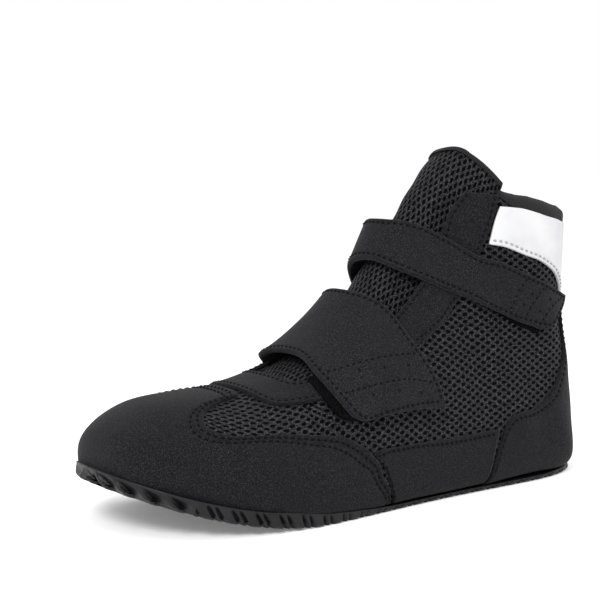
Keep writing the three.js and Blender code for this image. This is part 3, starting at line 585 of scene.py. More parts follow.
def wave(tree, value, pitch, kind):
    """A sine or cosine that repeats at a pitch."""
    angle = add_node(tree, "ShaderNodeMath", {"operation": "MULTIPLY"}, _0=value, _1=2 * math.pi / pitch)
    return add_node(tree, "ShaderNodeMath", {"operation": kind}, _0=angle)


def net_height(tree, layer, pitch_across, pitch_along):
    """Strands of a knitted net with staggered lozenge holes: 1 on the strands, 0 in the holes."""
    place = add_node(tree, "ShaderNodeUVMap", {"uv_map": layer})
    drift = add_node(tree, "ShaderNodeTexNoise", Vector=place, Scale=70.0, Detail=1.0).node.outputs["Color"]
    drift = add_node(tree, "ShaderNodeVectorMath", {"operation": "SCALE"}, _0=drift, Scale=1.2 * mm)
    moved = add_node(tree, "ShaderNodeVectorMath", {"operation": "ADD"}, _0=place, _1=drift)
    parts = add_node(tree, "ShaderNodeSeparateXYZ", Vector=moved).node.outputs
    across, along = wave(tree, parts[0], pitch_across, "COSINE"), wave(tree, parts[1], pitch_along, "COSINE")
    total = add_node(tree, "ShaderNodeMath", {"operation": "ADD"}, _0=across, _1=along)
    off_strand = add_node(tree, "ShaderNodeMath", {"operation": "ABSOLUTE"}, _0=total)
    return spread(tree, off_strand, 0.9, 1.35, 1.0, 0.0)


# Hole colour, near black: partly the dark layer under the net, partly painted shade in the holes' depth.
hole_black_and_shade = (0.0006, 0.0006, 0.0007)


def mesh_finish(name, nets, strand):
    """Black spacer mesh: grey strands flecked with painted glints, round lozenge holes painted near black.
    A net is a cloth layer with its two pitches. The second net takes over behind the vamp's seam."""
    material, tree, shader = new_material(name, strand, 0.55, Specular_IOR_Level=0.06)
    place = add_node(tree, "ShaderNodeUVMap", {"uv_map": "cloth"})
    strands = net_height(tree, *nets[0])
    if len(nets) > 1:
        along = add_node(tree, "ShaderNodeTexCoord").node.outputs["Object"]
        along = add_node(tree, "ShaderNodeSeparateXYZ", Vector=along)
        behind = spread(tree, along, vamp_seam, vamp_seam - 0.3 * mm)
        second = net_height(tree, *nets[1])
        mixed = {"data_type": "FLOAT"}
        strands = add_node(tree, "ShaderNodeMix", mixed, Factor=behind, _2=strands, _3=second)
    yarn = {"wave_type": "BANDS", "bands_direction": "DIAGONAL"}
    twist = add_node(tree, "ShaderNodeTexWave", yarn, Vector=place, Scale=900.0)
    # Painted glints: random spots on the strands three times as bright as the strand colour, with darker
    # flecks between.
    painted_glints = spread(tree, grain(tree, 0.65 * mm, 3), 0.45, 0.66)
    thread = blend_colors(tree, painted_glints, tuple(0.4 * c for c in strand), tuple(3.0 * c for c in strand))
    # The holes get the near-black colour with its painted shade, and the strands get the flecked strand
    # colour.
    paint(tree, shader, strands, hole_black_and_shade, thread)
    tree.links.new(spread(tree, strands, 0, 1, 0.95, 0.48), shader.inputs["Roughness"])
    fine = raise_surface(tree, shader, twist, 0.08 * mm, 0.5)
    raise_surface(tree, shader, strands, 0.9 * mm, 1.0, under=fine)
    return material


upper_rows, upper_columns = 190, 150
climb = np.linspace(0.004, 1, upper_rows)[:, None]
swing = np.linspace(-1, 1, upper_columns)[None, :]
turn = swing * 180 + 0 * climb
for _ in range(6):
    station = climb * collar_station(turn)
    turn = swing * throat_turn(station)
vamp_seam = heel_back + 0.6 * length
quarter_mesh = mesh_finish(
    "quarter mesh",
    [("cloth", 4.3 * mm, 6.3 * mm), ("quarter cloth", 6.2 * mm, 3.75 * mm)],
    (0.017, 0.017, 0.0187),
)
upper = closed_sheet("upper_mesh", skin(station, turn), skin(station, turn, -upper_wall), quarter_mesh)
quarter_layer = upper.data.uv_layers.new(name="quarter cloth")
corner_points = np.array([upper.data.vertices[loop.vertex_index].co[:] for loop in upper.data.loops])
quarter_layer.data.foreach_set("uv", corner_points[:, (0, 2)].ravel())
settle(upper, "mesh", "upper")

# Insole: a flat foam sheet with a brushed cloth face, cut to the last and laid loose in the shoe.
insole_thickness = 3 * mm
insole_rise = sole_thickness + clearance + upper_wall + clearance


def insole_finish():
    """Brushed black cloth with a short soft nap."""
    material, tree, shader = new_material(
        "brushed insole cloth", (0.02, 0.02, 0.021), 0.9, Specular_IOR_Level=0.2, Sheen_Weight=0.1
    )
    raise_surface(tree, shader, grain(tree, 0.6 * mm, 4), 0.25 * mm, 0.8)
    return material


insole_columns = 40
insole_share = np.linspace(0, 1, insole_columns)[None, :, None]
insole_inset = 8.5 * mm
insole_outer = (outer_line - outer_normal * insole_inset)[::6][2:-3]
insole_inner = (inner_line - inner_normal * insole_inset)[::6][2:-3]
insole_plan = insole_outer[:, None] * (1 - insole_share) + insole_inner[:, None] * insole_share
insole_floor = spring_rise(insole_plan[..., 0]) + insole_rise
insole_edge = np.minimum(insole_share[..., 0], 1 - insole_share[..., 0]) * 2
insole_crown = insole_thickness * (0.75 + 0.25 * np.minimum(1, insole_edge * 5) ** 0.5)
insole = closed_sheet(
    "insole_foam",
    np.dstack([insole_plan, insole_floor + insole_crown])[:, ::-1],
    np.dstack([insole_plan, insole_floor])[:, ::-1],
    insole_finish(),
)
settle(insole, "insole", "insole")

# Suede panels: toe cap, two side panels and heel counter, glued on the mesh and sewn near their upper edges.
# Below, they are thinned and tucked between the upper and the rubber.
cap_thickness = 1.5 * mm
overlay_thickness = 1.1 * mm
toe_cap_edges = [
    [5.8, 40, 5.78, 47],
    [5.5, 40, 5.72, 60],
    [5.2, 40, 5.62, 80],
    [4.9, 40, 5.43, 94],
    [4.5, 40, 5.11, 104],
    [4.0, 40, 4.7, 112],
    [3.4, 40, 3.91, 121],
    [2.8, 41, 3.04, 123],
    [2.3, 43, 2.65, 130],
    [1.8, 45, 2.66, 142],
    [1.4, 46, 2.83, 150],
    [1.1, 45, 3.19, 158],
    [0.85, 34, 3.52, 162],
    [0.75, 16, 3.56, 170],
    [0.72, 0, 3.56, 180],
]
side_panel_edges = [
    [5.87, 40, 5.85, 47],
    [5.95, 40, 5.79, 60],
    [6.1, 40, 5.69, 80],
    [6.4, 40, 5.54, 92],
    [6.8, 40, 6.3, 88],
    [7.2, 40, 7.38, 82],
    [7.68, 40, 8.54, 81],
]
counter_edges = [
    [7.76, 40, 7.84, 44],
    [7.95, 40, 8.11, 57],
    [8.15, 40, 8.45, 71],
    [8.4, 40, 8.72, 82],
    [8.7, 39, 9.09, 89],
    [9.0, 38, 9.55, 88],
    [9.3, 37, 10.28, 84],
    [9.6, 35, 11.0, 76],
    [9.85, 31, 11.7, 65],
    [10.1, 26, 12.4, 54],
    [10.3, 19, 13.2, 48],
    [10.42, 12, 13.8, 44],
    [10.48, 5, 14.0, 22],
    [10.5, 0, 14.04, 0],
]


def mirrored_front(rows):
    return rows + [[a, 360 - b, c, 360 - d] for a, b, c, d in rows[-2::-1]]


def mirrored_back(rows):
    return rows + [[a, -b, c, -d] for a, b, c, d in rows[-2::-1]]


def inner_side(rows):
    return [[a, 360 - b, c, 360 - d] for a, b, c, d in rows]


class Panel:
    """A sheet on the last between the two edges of a table, read by a place along it and a share across it.
    Round the toe its edges are joined straight across the last rolled out flat."""

    def __init__(self, edges, round_toe=False):
        rows = np.array(edges, float)
        self.round_toe = round_toe
        if round_toe:
            station, turn = rows[:, ::2], np.radians(rows[:, 1::2])
            rows = np.stack([station * np.sin(turn), -station * np.cos(turn)], axis=-1).reshape(-1, 4)
        self.rows = rows
        self.places = np.linspace(0, 1, 301)
        first, middle, last = (skin(*self.at(self.places, share)) for share in (0.0, 0.5, 1.0))
        near, far = np.linalg.norm(first - middle, axis=1), np.linalg.norm(middle - last, axis=1)
        self.widths = near + far
        self.runs = run_along(middle)

    def at(self, place, share):
        """Station and turn."""
        row = between(self.rows, np.asarray(place, float) * (len(self.rows) - 1))
        p = row[..., 0] + (row[..., 2] - row[..., 0]) * share
        q = row[..., 1] + (row[..., 3] - row[..., 1]) * share
        return (np.hypot(p, q), np.degrees(np.arctan2(p, -q))) if self.round_toe else (p, q)

    def width(self, place):
        return np.interp(place, self.places, self.widths)

    def place_after(self, distance):
        return np.interp(distance, self.runs, self.places)

    def grid(self, along, across, fine, corner=0.0, ends=False):
        """Places and shares of a grid that is close at the edges, with its distances to the edges."""
        near = np.array([0, 0.12, 0.35, 0.65, 1.0]) * fine
        whole = self.runs[-1]
        if ends:
            inside = np.linspace(fine, whole - fine, along)
            distance = np.concatenate([near[:-1], inside, (whole - near[:-1])[::-1]])
        else:
            distance = np.linspace(0, whole, along)
        place = self.place_after(distance)[:, None]
        width = self.width(place)
        steps = np.linspace(0, 1, across)[None, :]
        inner_steps = near[:-1][None, :] / width
        body = fine / width + (1 - 2 * fine / width) * steps
        share = np.hstack([inner_steps, body, 1 - inner_steps[:, ::-1]])
        if corner > 0:
            from_end = np.minimum(distance, whole - distance)[:, None]
            bite = corner - np.sqrt(np.maximum(0, corner**2 - np.maximum(0, corner - from_end) ** 2))
            share = bite / width + share * (1 - 2 * bite / width)
        to_first, to_second = share * width, (1 - share) * width
        edge = np.minimum(to_first, to_second)
        if ends:
            edge = np.minimum(edge, np.minimum(distance, whole - distance)[:, None])
        return place + 0 * share, share, to_first, to_second, edge


def round_over(edge, radius):
    """Height of a rounded edge at a distance in from it, as a share of the full height."""
    inward = np.clip(edge / radius, 0, 1)
    return np.sqrt(np.maximum(0, 1 - (1 - inward) ** 2))


def seam_dent(distance, insets, depth=0.5 * mm, width=1.5 * mm):
    """The trough that a row of stitches pulls into a panel."""
    return sum(-depth * np.exp(-(((distance - inset) / (width / 2)) ** 2)) for inset in insets)


stitch_pitch = 3.3 * mm
stitch_length = 2.2 * mm
thread_radius = 0.55 * mm


def thread_finish():
    """Spun black thread, dull and a little rough."""
    color = (0.0015, 0.0015, 0.0018)
    material, tree, shader = new_material("black sewing thread", color, 0.7, Specular_IOR_Level=0.1)
    raise_surface(tree, shader, grain(tree, 0.3 * mm, 1), 0.08 * mm, 0.6)
    return material


sewing_thread = thread_finish()


def stitches(name, lines, slot, thread=sewing_thread):
    """One joined mesh of thread for rows of stitches. A line gives close points and outward directions."""
    sides, share = 6, np.array([0.0, 0.18, 0.5, 0.82, 1.0])
    girth = np.array([0.25, 0.85, 1.0, 0.85, 0.25]) * thread_radius
    arch = np.array([-0.45, 0.05, 0.3, 0.05, -0.45]) * thread_radius * 1.5
    angles = np.linspace(0, 2 * math.pi, sides, endpoint=False)
    centres, sideways, upward = [], [], []
    for line, outward in lines:
        run = run_along(line)
        starts = np.arange(0.4 * stitch_pitch, run[-1] - stitch_length, stitch_pitch)
        where = starts[:, None] + share[None, :] * stitch_length
        centre = np.stack([np.interp(where, run, line[:, k]) for k in range(3)], axis=-1)
        up = np.stack([np.interp(where, run, outward[:, k]) for k in range(3)], axis=-1)
        up /= np.linalg.norm(up, axis=-1)[..., None]
        forward = np.gradient(centre, axis=1)
        forward /= np.linalg.norm(forward, axis=-1)[..., None]
        centres.append(centre + up * arch[None, :, None])
        sideways.append(np.cross(forward, up))
        upward.append(up)
    centre, side, up = (np.concatenate(parts)[:, :, None] for parts in (centres, sideways, upward))
    round_thread = side * np.cos(angles)[None, None, :, None] + up * np.sin(angles)[None, None, :, None]
    points = centre + round_thread * girth[None, :, None, None]
    one = quads_of(len(share), sides, looped=True)
    faces = one[None] + (np.arange(len(points)) * len(share) * sides)[:, None, None]
    return settle(mesh_piece(name, points, faces.reshape(-1, 4), thread), slot)


def sewn_line(panel, place, share, height):
    """A seam's path on a panel and the outward directions along it."""
    station, turn = panel.at(place, share)
    line = skin(station, turn, height)
    return line, skin(station, turn, height + mm) - line


def suede_finish(name, shade=1.0):
    """Near-black suede: a dense nap with fine specks, soft clouds where it is brushed, and a dull sheen."""
    base = (0.0074 * shade, 0.0074 * shade, 0.0086 * shade)
    material, tree, shader = new_material(
        name, base, 0.9, Specular_IOR_Level=0.1, Sheen_Weight=0.06, Sheen_Roughness=0.4
    )
    specks = spread(tree, grain(tree, 0.5 * mm, 2), 0.45, 0.68)
    clouds = spread(tree, grain(tree, 22 * mm, 3), 0.3, 0.7)
    fine = blend_colors(tree, specks, tuple(0.4 * c for c in base), tuple(3.4 * c for c in base))
    paint(tree, shader, clouds, fine, tuple(1.2 * c for c in base))
    clouds.node.inputs["To Max"].default_value = 0.45
    nap = raise_surface(tree, shader, grain(tree, 0.7 * mm, 4), 0.3 * mm, 1.0)
    raise_surface(tree, shader, grain(tree, 3.5 * mm, 3), 0.3 * mm, 0.5, under=nap)
    return material


suede = suede_finish("black suede")
thinned = 0.6
rounded = 0.9 * mm


def sewn_overlay(name, edges, thickness, along, across, seams, round_toe=False):
    """A suede overlay with its seams, thinned at the sole and rounded at the edge that shows."""
    panel = Panel(edges, round_toe)
    place, share, to_first, to_second, _ = panel.grid(along, across, rounded)
    station, turn = panel.at(place, share)
    skived = thinned + (1 - thinned) * smooth(0, 0.12, share)
    height = clearance + thickness * skived * (0.12 + 0.88 * round_over(to_second, rounded))
    height = height + seam_dent(to_second, seams) * smooth(2, 9, to_second / mm + to_first / mm)
    piece = closed_sheet(name, skin(station, turn, height), skin(station, turn, -0.4 * mm), suede)
    settle(piece, "suede", name.replace("_suede", ""))
    lines = []
    for inset in seams:
        places = panel.places[panel.width(panel.places) > inset + 6 * mm]
        share = 1 - inset / panel.width(places)
        lines.append(sewn_line(panel, places, share, clearance + thickness - 0.3 * mm))
    stitches(name.replace("suede", "stitching"), lines, "suede")


double_seam, single_seam = (2.2 * mm, 4.6 * mm), (2.4 * mm,)
sewn_overlay("toe_cap_suede", mirrored_front(toe_cap_edges), cap_thickness, 240, 44, double_seam, True)
sewn_overlay("side_panel_lateral_suede", side_panel_edges, overlay_thickness, 70, 30, single_seam)
sewn_overlay("side_panel_medial_suede", inner_side(side_panel_edges), overlay_thickness, 70, 30, single_seam)
sewn_overlay("heel_counter_suede", mirrored_back(counter_edges), cap_thickness, 200, 44, single_seam)

# Collar panel: smooth white coated cloth round the back of the collar, sewn near its lower edge.
collar_panel_edges = [
    [12.05, 121.5, 13.42, 118.5],
    [12.55, 111, 13.85, 110],
    [13.11, 95, 14.23, 101],
    [13.66, 79, 14.75, 85],
    [14.04, 62, 15.3, 66],
    [14.19, 42, 15.75, 44],
    [14.2, 20, 16.0, 20],
    [14.2, 0, 16.05, 0],
]


def white_finish():
    """Smooth white coated cloth, faintly pebbled and not quite flat."""
    base = (0.56, 0.56, 0.57)
    material, tree, shader = new_material("white coated cloth", base, 0.5, Specular_IOR_Level=0.3)
    shade = spread(tree, grain(tree, 16 * mm, 3), 0.3, 0.7)
    paint(tree, shader, shade, (0.52, 0.52, 0.535), (0.6, 0.6, 0.605))
    pebbles = raise_surface(tree, shader, grain(tree, 0.7 * mm, 2), 0.06 * mm, 0.4)
    raise_surface(tree, shader, grain(tree, 14 * mm, 2), 0.5 * mm, 0.35, under=pebbles)
    return material


flat_rounding = 0.7 * mm


def flat_overlay(name, panel, thickness, lift, cells, finish, upper_seams=(), lower_seams=(), ends=False):
    """A panel of even thickness with rounded edges, lying at a distance over the last.
    Its cells are counted along and across it, and its finish is a material with its slot."""
    material, slot = finish
    place, share, to_first, to_second, edge = panel.grid(*cells, flat_rounding, ends=ends)
    station, turn = panel.at(place, share)
    height = lift + thickness * (0.1 + 0.9 * round_over(edge, flat_rounding))
    height = height + seam_dent(to_second, upper_seams, 0.25 * mm)
    height = height + seam_dent(to_first, lower_seams, 0.25 * mm)
    inner = skin(station, turn, lift - 0.4 * mm)
    piece = closed_sheet(name, skin(station, turn, height), inner, material)
    return settle(piece, slot, name.rsplit("_", 1)[0])


collar_seam = 2.2 * mm
collar_lift = 2 * clearance
collar_band = Panel(mirrored_back(collar_panel_edges))
flat_overlay(
    "collar_panel_white", collar_band, overlay_thickness, collar_lift, (160, 20),
    (white_finish(), "white_panel"), lower_seams=(collar_seam,),
)
grey_thread = new_material("pale sewing thread", (0.3, 0.3, 0.31), 0.6)[0]
collar_share = collar_seam / collar_band.width(collar_band.places)
collar_line = sewn_line(collar_band, collar_band.places, collar_share, collar_lift + 0.95 * mm)
stitches("collar_panel_stitching", [collar_line], "white_panel", grey_thread)

# Eyestay: a U of suede round the throat, folded at its edges and sewn down on both sides.
eyestay_thickness = 1.4 * mm
eyestay_seam = 2.3 * mm
eyestay_band = Panel(mirrored_front(eyestay_edges))
flat_overlay(
    "eyestay_suede", eyestay_band, eyestay_thickness, 2 * clearance, (300, 20), (suede, "suede"),
    upper_seams=(eyestay_seam,), lower_seams=(eyestay_seam,), ends=True,
)
on_eyestay = 2 * clearance + eyestay_thickness
stay_share = eyestay_seam / eyestay_band.width(eyestay_band.places)
stay_lines = []
for share in (stay_share, 1 - stay_share):
    stay_lines.append(sewn_line(eyestay_band, eyestay_band.places, share, on_eyestay - 0.25 * mm))
stitches("eyestay_stitching", stay_lines, "suede")

# Collar roll: the top edge is turned over a foam cord and covered with black ribbed knit.
roll_profile = [
    [1.0, -2.5],
    [1.1, 1.6],
    [0.3, 3.8],
    [-1.8, 5.0],
    [-4.2, 4.4],
    [-5.4, 1.8],
    [-5.0, -2.5],
]
roll_turn = 121  # where the roll slips behind the eyestay, thinner than elsewhere
roll_thins_from = 108


def knit_finish():
    """Ribbed black knit: fine ribs side by side across the edge, with painted shade in the grooves between
    them and painted light on their crowns.
    """
    material, tree, shader = new_material(
        "black ribbed knit", (0.01, 0.01, 0.011), 0.85, Specular_IOR_Level=0.15, Sheen_Weight=0.05
    )
    place = add_node(tree, "ShaderNodeUVMap", {"uv_map": "cloth"})
    parts = add_node(tree, "ShaderNodeSeparateXYZ", Vector=place).node.outputs
    rib_height_and_shade = spread(tree, wave(tree, parts[1], 1.1 * mm, "SINE"), -1, 1)
    # Painted shade: the colour follows the same wave as the bump, darker in the grooves and lighter on the
    # crowns.
    paint(tree, shader, rib_height_and_shade, (0.004, 0.004, 0.0045), (0.016, 0.016, 0.0175))
    fuzz = raise_surface(tree, shader, grain(tree, 0.4 * mm, 3), 0.1 * mm, 0.6)
    raise_surface(tree, shader, rib_height_and_shade, 0.3 * mm, 0.8, under=fuzz)
    return material


knit = knit_finish()


def edge_roll(name, turns, station, lift, profile, height, material, slot, nodes):
    """A soft roll along an edge of the shoe. The profile is how far out and up it reaches, in millimetres."""
    base = skin(station, turns, lift)
    rise = skin(station + 0.1, turns, lift) - base
    rise /= np.linalg.norm(rise, axis=-1)[:, None]
    out = skin(station, turns, lift + mm) - base
    curve = between(profile, np.linspace(0, len(profile) - 1, 26)) * mm
    up = curve[None, :, 1:] * np.reshape(height, (-1, 1, 1))
    grid = base[:, None] + out[:, None] / mm * curve[None, :, :1] + rise[:, None] * up
    core = grid.mean(axis=1, keepdims=True) + 0 * grid
    return settle(closed_sheet(name, grid, core, material), slot, *nodes)


roll_turns = np.linspace(-roll_turn, roll_turn, 260)
roll_height = 1 - 0.45 * smooth(roll_thins_from, roll_turn, np.abs(roll_turns))
edge_roll(
    "collar_roll_knit", roll_turns, collar_station(roll_turns), 0.0, roll_profile, roll_height, knit, "knit",
    ["collar_roll"],
)

# Tongue: a padded sheet of open mesh over foam, sewn in at the vamp and held under the eyestay.
# Its top edge is bound with knit tape.
tongue_thickness = 4 * mm
tongue_recess = 1.2 * mm
tongue_top = 14.2
binding_depth = 0.14
# Columns: station, half width as a turn from the front.
tongue_widths = [[3.9, 30], [4.6, 38], [6.5, 50], [9.0, 51], [11.0, 53], [12.6, 57], [13.6, 61], [14.0, 60]]


def tongue_face(station, turn):
    """How far out the tongue's face lies: sunk under the eyestay, raised in the throat, free at the top."""
    from_front = np.abs(turn - 180)
    free = smooth(13.7, 14.1, station)
    sunk = -upper_wall - 3 * clearance
    in_throat = smooth(33, 24, from_front) * smooth(4.5, 5.0, station)
    shown = np.maximum(in_throat, free * 0.6)
    return sunk + (-tongue_recess - sunk) * shown


def tongue_end(turn):
    """The tongue's top edge, which dips over its front and inner side."""
    return tongue_top - 0.22 * smooth(158, 190, turn)


tongue_table = np.array(tongue_widths)
tongue_climb = np.linspace(0, 1, 240)[:, None]
tongue_swing = np.linspace(-1, 1, 110)[None, :]
tongue_station = 3.9 + (tongue_top - binding_depth / 2 - 3.9) * tongue_climb + 0 * tongue_swing
tongue_turn = 180 + tongue_swing * np.interp(tongue_station, tongue_table[:, 0], tongue_table[:, 1])
tongue_station = tongue_station + (tongue_end(tongue_turn) - tongue_top) * smooth(0.8, 1, tongue_climb)
swell = np.sin((tongue_station - 3.9) * 1.9) ** 2 * smooth(14.1, 13.4, tongue_station)
pillow = 0.5 * mm * (1 - tongue_swing**2) * swell
tongue_mesh = mesh_finish("tongue mesh", [("cloth", 3.2 * mm, 6.3 * mm)], (0.016, 0.016, 0.0176))
tongue_lie = tongue_face(tongue_station, tongue_turn)
tongue_outer = skin(tongue_station, tongue_turn, tongue_lie + pillow - 0.45 * mm)
tongue_inner = skin(tongue_station, tongue_turn, tongue_lie - tongue_thickness)
tongue = closed_sheet("tongue_mesh", tongue_outer, tongue_inner, tongue_mesh)
settle(tongue, "mesh", "tongue")
binding_profile = [[0.5, -2.6], [0.6, -1.0], [0.1, 0.1], [-1.6, 0.6], [-3.4, 0.1], [-4.4, -1.0], [-4.5, -2.6]]
binding_turns = np.linspace(120.5, 239.5, 200)
edge_roll(
    "tongue_binding_knit", binding_turns, tongue_end(binding_turns), tongue_face(14.0, binding_turns),
    binding_profile, 1.0, knit, "knit", ["tongue_binding"],
)

# Loop patches: fuzzy black pile that the strap ends press onto, sewn on the quarter under each strap.
pile_thickness = 1.2 * mm
instep_pile_edges = [
    [4.74, 150, 6.9, 150],
    [4.74, 137, 7.05, 139],
    [4.88, 121, 7.2, 122],
    [5.2, 114, 7.2, 109],
    [5.7, 108.5, 7.1, 104],
]
ankle_pile_edges = [
    [10.35, 119, 11.55, 120.5],
    [10.8, 111, 12.0, 112],
    [11.4, 98, 12.6, 95],
    [11.75, 88, 13.3, 70],
]


def pile_finish():
    """Matt black loops gathered in small clumps, with painted shade in the hollows between them."""
    color = (0.002, 0.002, 0.002)
    material, tree, shader = new_material("black loop pile", color, 1.0, Specular_IOR_Level=0.05)
    tuft_height_and_shade = spread(tree, grain(tree, 0.8 * mm, 3), 0.35, 0.65)
    # Painted shade: the colour follows the same noise as the bump, darker where the loops lie low.
    paint(tree, shader, tuft_height_and_shade, (0.0006, 0.0006, 0.0006), (0.006, 0.006, 0.0065))
    raise_surface(tree, shader, tuft_height_and_shade, 0.8 * mm, 1.0)
    return material


pile = (pile_finish(), "pile")
over_stay = on_eyestay + clearance
instep_pile, ankle_pile = Panel(instep_pile_edges), Panel(ankle_pile_edges)
flat_overlay("pile_patch_instep_loops", instep_pile, pile_thickness, over_stay, (70, 60), pile, ends=True)
flat_overlay("pile_patch_ankle_loops", ankle_pile, pile_thickness, clearance, (80, 40), pile, ends=True)

# Straps: two layers of suede with hook tape inside, sewn to the inner side and pulled over the tongue.
# Their outer ends press onto the loop patches, with lines of stitching and punched holes.
strap_thickness = 2.4 * mm
strap_rounding = 1.0 * mm
strap_seam = 2.4 * mm
instep_stand_off = 1.2 * mm
ankle_stand_off = 5.5 * mm
instep_strap_edges = [
    [5.9, 252, 7.2, 250],
    [5.5, 240, 7.4, 238],
    [5.2, 222, 7.35, 222],
    [4.9, 205, 7.1, 205],
    [4.93, 190, 6.98, 188],
    [4.98, 166, 7.0, 168],
    [4.88, 148, 7.2, 148],
    [4.94, 132, 7.24, 131],
    [5.05, 121, 7.34, 119],
    [5.13, 116.5, 7.38, 110],
    [5.35, 110.8, 7.32, 99.5],
]
ankle_strap_edges = [
    [8.6, 241, 10.9, 235],
    [8.4, 228, 10.55, 222],
    [8.2, 208, 9.95, 206],
    [8.15, 192, 9.66, 191],
    [8.25, 172, 9.66, 172],
    [8.42, 155, 10.2, 154],
    [8.96, 140, 10.75, 141],
    [9.91, 124, 11.32, 128],
    [10.85, 111, 12.0, 114],
    [11.53, 97, 12.68, 94],
    [11.9, 86, 13.49, 66],
    [12.1, 80, 14.02, 45],
]
instep_lift = 3 * clearance + eyestay_thickness + pile_thickness + clearance


def instep_under(turn, share):
    """Height of the instep strap's underside, which stands off over the front."""
    return instep_lift + instep_stand_off * smooth(48, 20, np.abs(turn - 180))


def ankle_under(turn, share):
    """Height of the ankle strap's underside, whose upper edge stands off further over the front."""
    lean = 0.25 + 0.75 * share
    return 3 * clearance + eyestay_thickness + ankle_stand_off * lean * smooth(50, 12, np.abs(turn - 180))


def lathe_rings(centres, outward, forward, profile, sides=14):
    """Points and faces of one small turned shape at each centre. The profile gives radii and heights."""
    angles = np.linspace(0, 2 * math.pi, sides, endpoint=False)
    side = np.cross(outward, forward)[:, None] * np.sin(angles)[None, :, None]
    flat = forward[:, None] * np.cos(angles)[None, :, None] + side
    rings = [centres[:, None] + flat * radius + outward[:, None] * rise for radius, rise in profile]
    one = quads_of(len(profile), sides, looped=True)
    faces = one[None] + (np.arange(len(centres)) * len(profile) * sides)[:, None, None]
    return np.stack(rings, axis=1), faces.reshape(-1, 4)


def punched_holes(name, panel, under, spots):
    """Small holes pricked through a strap: a raised lip of suede round a dark disc that stands for the hole,
    partly the dark layers under it and partly painted shade.
    """
    distance, share = np.array(spots).T
    place = panel.place_after(panel.runs[-1] - distance * mm)
    station, turn = panel.at(place, share)
    face = under(turn, share) + strap_thickness
    centres = skin(station, turn, face)
    outward = (skin(station, turn, face + mm) - centres) / mm
    forward = skin(station, turn + 0.5, face) - centres
    forward -= outward * np.sum(forward * outward, axis=1)[:, None]
    forward /= np.linalg.norm(forward, axis=1)[:, None]
    lip = [(1.5 * mm, -0.2 * mm), (1.25 * mm, 0.1 * mm), (1.0 * mm, 0.2 * mm), (0.75 * mm, 0.12 * mm)]
    pit_shade_disc = [(0.85 * mm, 0.16 * mm), (0.5 * mm, 0.1 * mm), (0.01 * mm, 0.08 * mm)]
    settle(mesh_piece(name + "_lips", *lathe_rings(centres, outward, forward, lip), strap_suede), "strap")
    # Painted shade: each hole is a dark disc in the black thread's material, not an opening.
    settle(mesh_piece(name + "_pit_shade_discs", *lathe_rings(centres, outward, forward, pit_shade_disc), sewing_thread), "strap")


def strap(name, edges, under, along, across, corner, end_lines, holes):
    """A sewn strap with rounded edges and corners, its seams and the rows of holes at its end."""
    panel = Panel(edges)
    place, share, _, _, edge = panel.grid(along, across, strap_rounding, corner=corner, ends=True)
    station, turn = panel.at(place, share)
    low = under(turn, share)
    body = strap_thickness * (0.45 + 0.55 * round_over(edge, strap_rounding))
    body = body + seam_dent(edge, (strap_seam,), 0.3 * mm)
    piece = closed_sheet(name, skin(station, turn, low + body), skin(station, turn, low), strap_suede)
    settle(piece, "strap", name.replace("_suede", ""))
    lines = []
    whole = panel.runs[-1]

    def sew(places, shares):
        face = under(panel.at(places, shares)[1], shares) + strap_thickness
        lines.append(sewn_line(panel, places, shares, face - 0.2 * mm))

    long_places = panel.place_after(np.linspace(strap_seam, whole - strap_seam, 240))
    side = strap_seam / panel.width(long_places)
    sew(long_places, side)
    sew(long_places, 1 - side)
    for distance in (strap_seam, whole - strap_seam):
        place = panel.place_after(distance)
        side = strap_seam / panel.width(place)
        sew(np.full(40, place), np.linspace(side, 1 - side, 40))
    for start, end, share_a, share_b in end_lines:
        from_start = whole - np.linspace(start, end, 40) * mm
        sew(panel.place_after(from_start), np.linspace(share_a, share_b, 40))
    stitches(name.replace("suede", "stitching"), lines, "strap")
    punched_holes(name.replace("suede", "holes"), panel, under, holes)


# End lines: how far from the strap's end they start and end, in millimetres, and their shares across it.
# Holes: how far from the end, and the share across.
strap_suede = suede_finish("brushed strap suede", 1.2)
strap(
    "strap_instep_suede", instep_strap_edges, instep_under, 200, 50, 4 * mm,
    [(36.5, 18.5, 0.05, 0.95), (23.5, 8, 0.05, 0.95)],
    [(27.5, 0.32), (22, 0.54), (17, 0.77), (15, 0.28), (10.5, 0.52), (6.5, 0.74)],
)
strap(
    "strap_ankle_suede", ankle_strap_edges, ankle_under, 200, 30, 1.5 * mm,
    [(40, 26.5, 0.1, 0.9), (29, 15.5, 0.1, 0.9), (16, 4.5, 0.1, 0.9)],
    [(23.8, 0.62), (29.8, 0.34), (12.5, 0.64), (18.5, 0.34)],
)

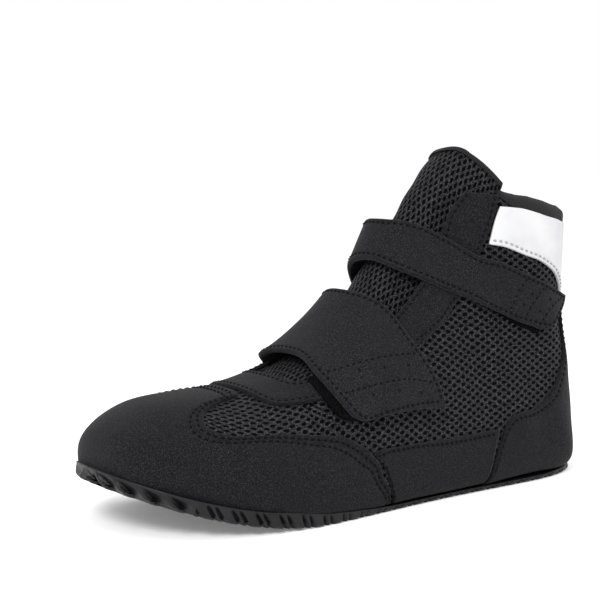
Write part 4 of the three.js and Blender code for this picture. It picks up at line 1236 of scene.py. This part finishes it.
# Studio: a wide pale floor under an even white sky, with a soft key light and a soft rim light.
floor_size = 60.0
floor_half = floor_size / 2
floor_corners = [(x * floor_half, y * floor_half, 0) for x, y in ((-1, -1), (1, -1), (1, 1), (-1, 1))]
glow = {"Emission_Color": (1, 1, 1, 1), "Emission_Strength": 0.14}
floor_paint = new_material("pale floor", (0.9, 0.9, 0.9), 0.8, Specular_IOR_Level=0.1, **glow)[0]
floor = mesh_piece("studio_floor", floor_corners, [(0, 1, 2, 3)], floor_paint)

bpy.context.scene.view_settings.view_transform = "Standard"
world = bpy.data.worlds.new("studio")
bpy.context.scene.world = world
world.use_nodes = True
world.node_tree.nodes["Background"].inputs["Color"].default_value = (1, 1, 1, 1)
world.node_tree.nodes["Background"].inputs["Strength"].default_value = 1.0


def soft_light(name, place, aim, size, power):
    """A round soft light turned to a point on the shoe."""
    data = bpy.data.lights.new(name, "AREA")
    data.shape, data.size, data.energy = "DISK", size, power
    light = bpy.data.objects.new(name, data)
    light.location = place
    light.rotation_euler = (Vector(aim) - Vector(place)).to_track_quat("-Z", "Y").to_euler()
    bpy.context.scene.collection.objects.link(light)


soft_light("key", (1.0, 0.75, 1.0), (0.07, 0, 0.06), 0.6, 16)
soft_light("rim", (-0.9, 0.2, 1.1), (0.0, 0, 0.1), 0.6, 5)

# Camera: the photograph's own angle, a third of a turn ahead of the outer side and a little above the floor.
camera_aim = Vector((93.6, -16.1, 96.7)) * mm
camera_distance = 699.6 * mm
camera_ahead, camera_rise = math.radians(33.6), math.radians(5.33)
toward = Vector(
    (
        math.cos(camera_rise) * math.sin(camera_ahead),
        math.cos(camera_rise) * math.cos(camera_ahead),
        math.sin(camera_rise),
    )
)
camera_data = bpy.data.cameras.new("camera")
camera_data.lens, camera_data.sensor_width = 84.3, 36
camera = bpy.data.objects.new("camera", camera_data)
camera.location = camera_aim + toward * camera_distance
camera.rotation_euler = (-toward).to_track_quat("-Z", "Y").to_euler()
bpy.context.scene.collection.objects.link(camera)
bpy.context.scene.camera = camera
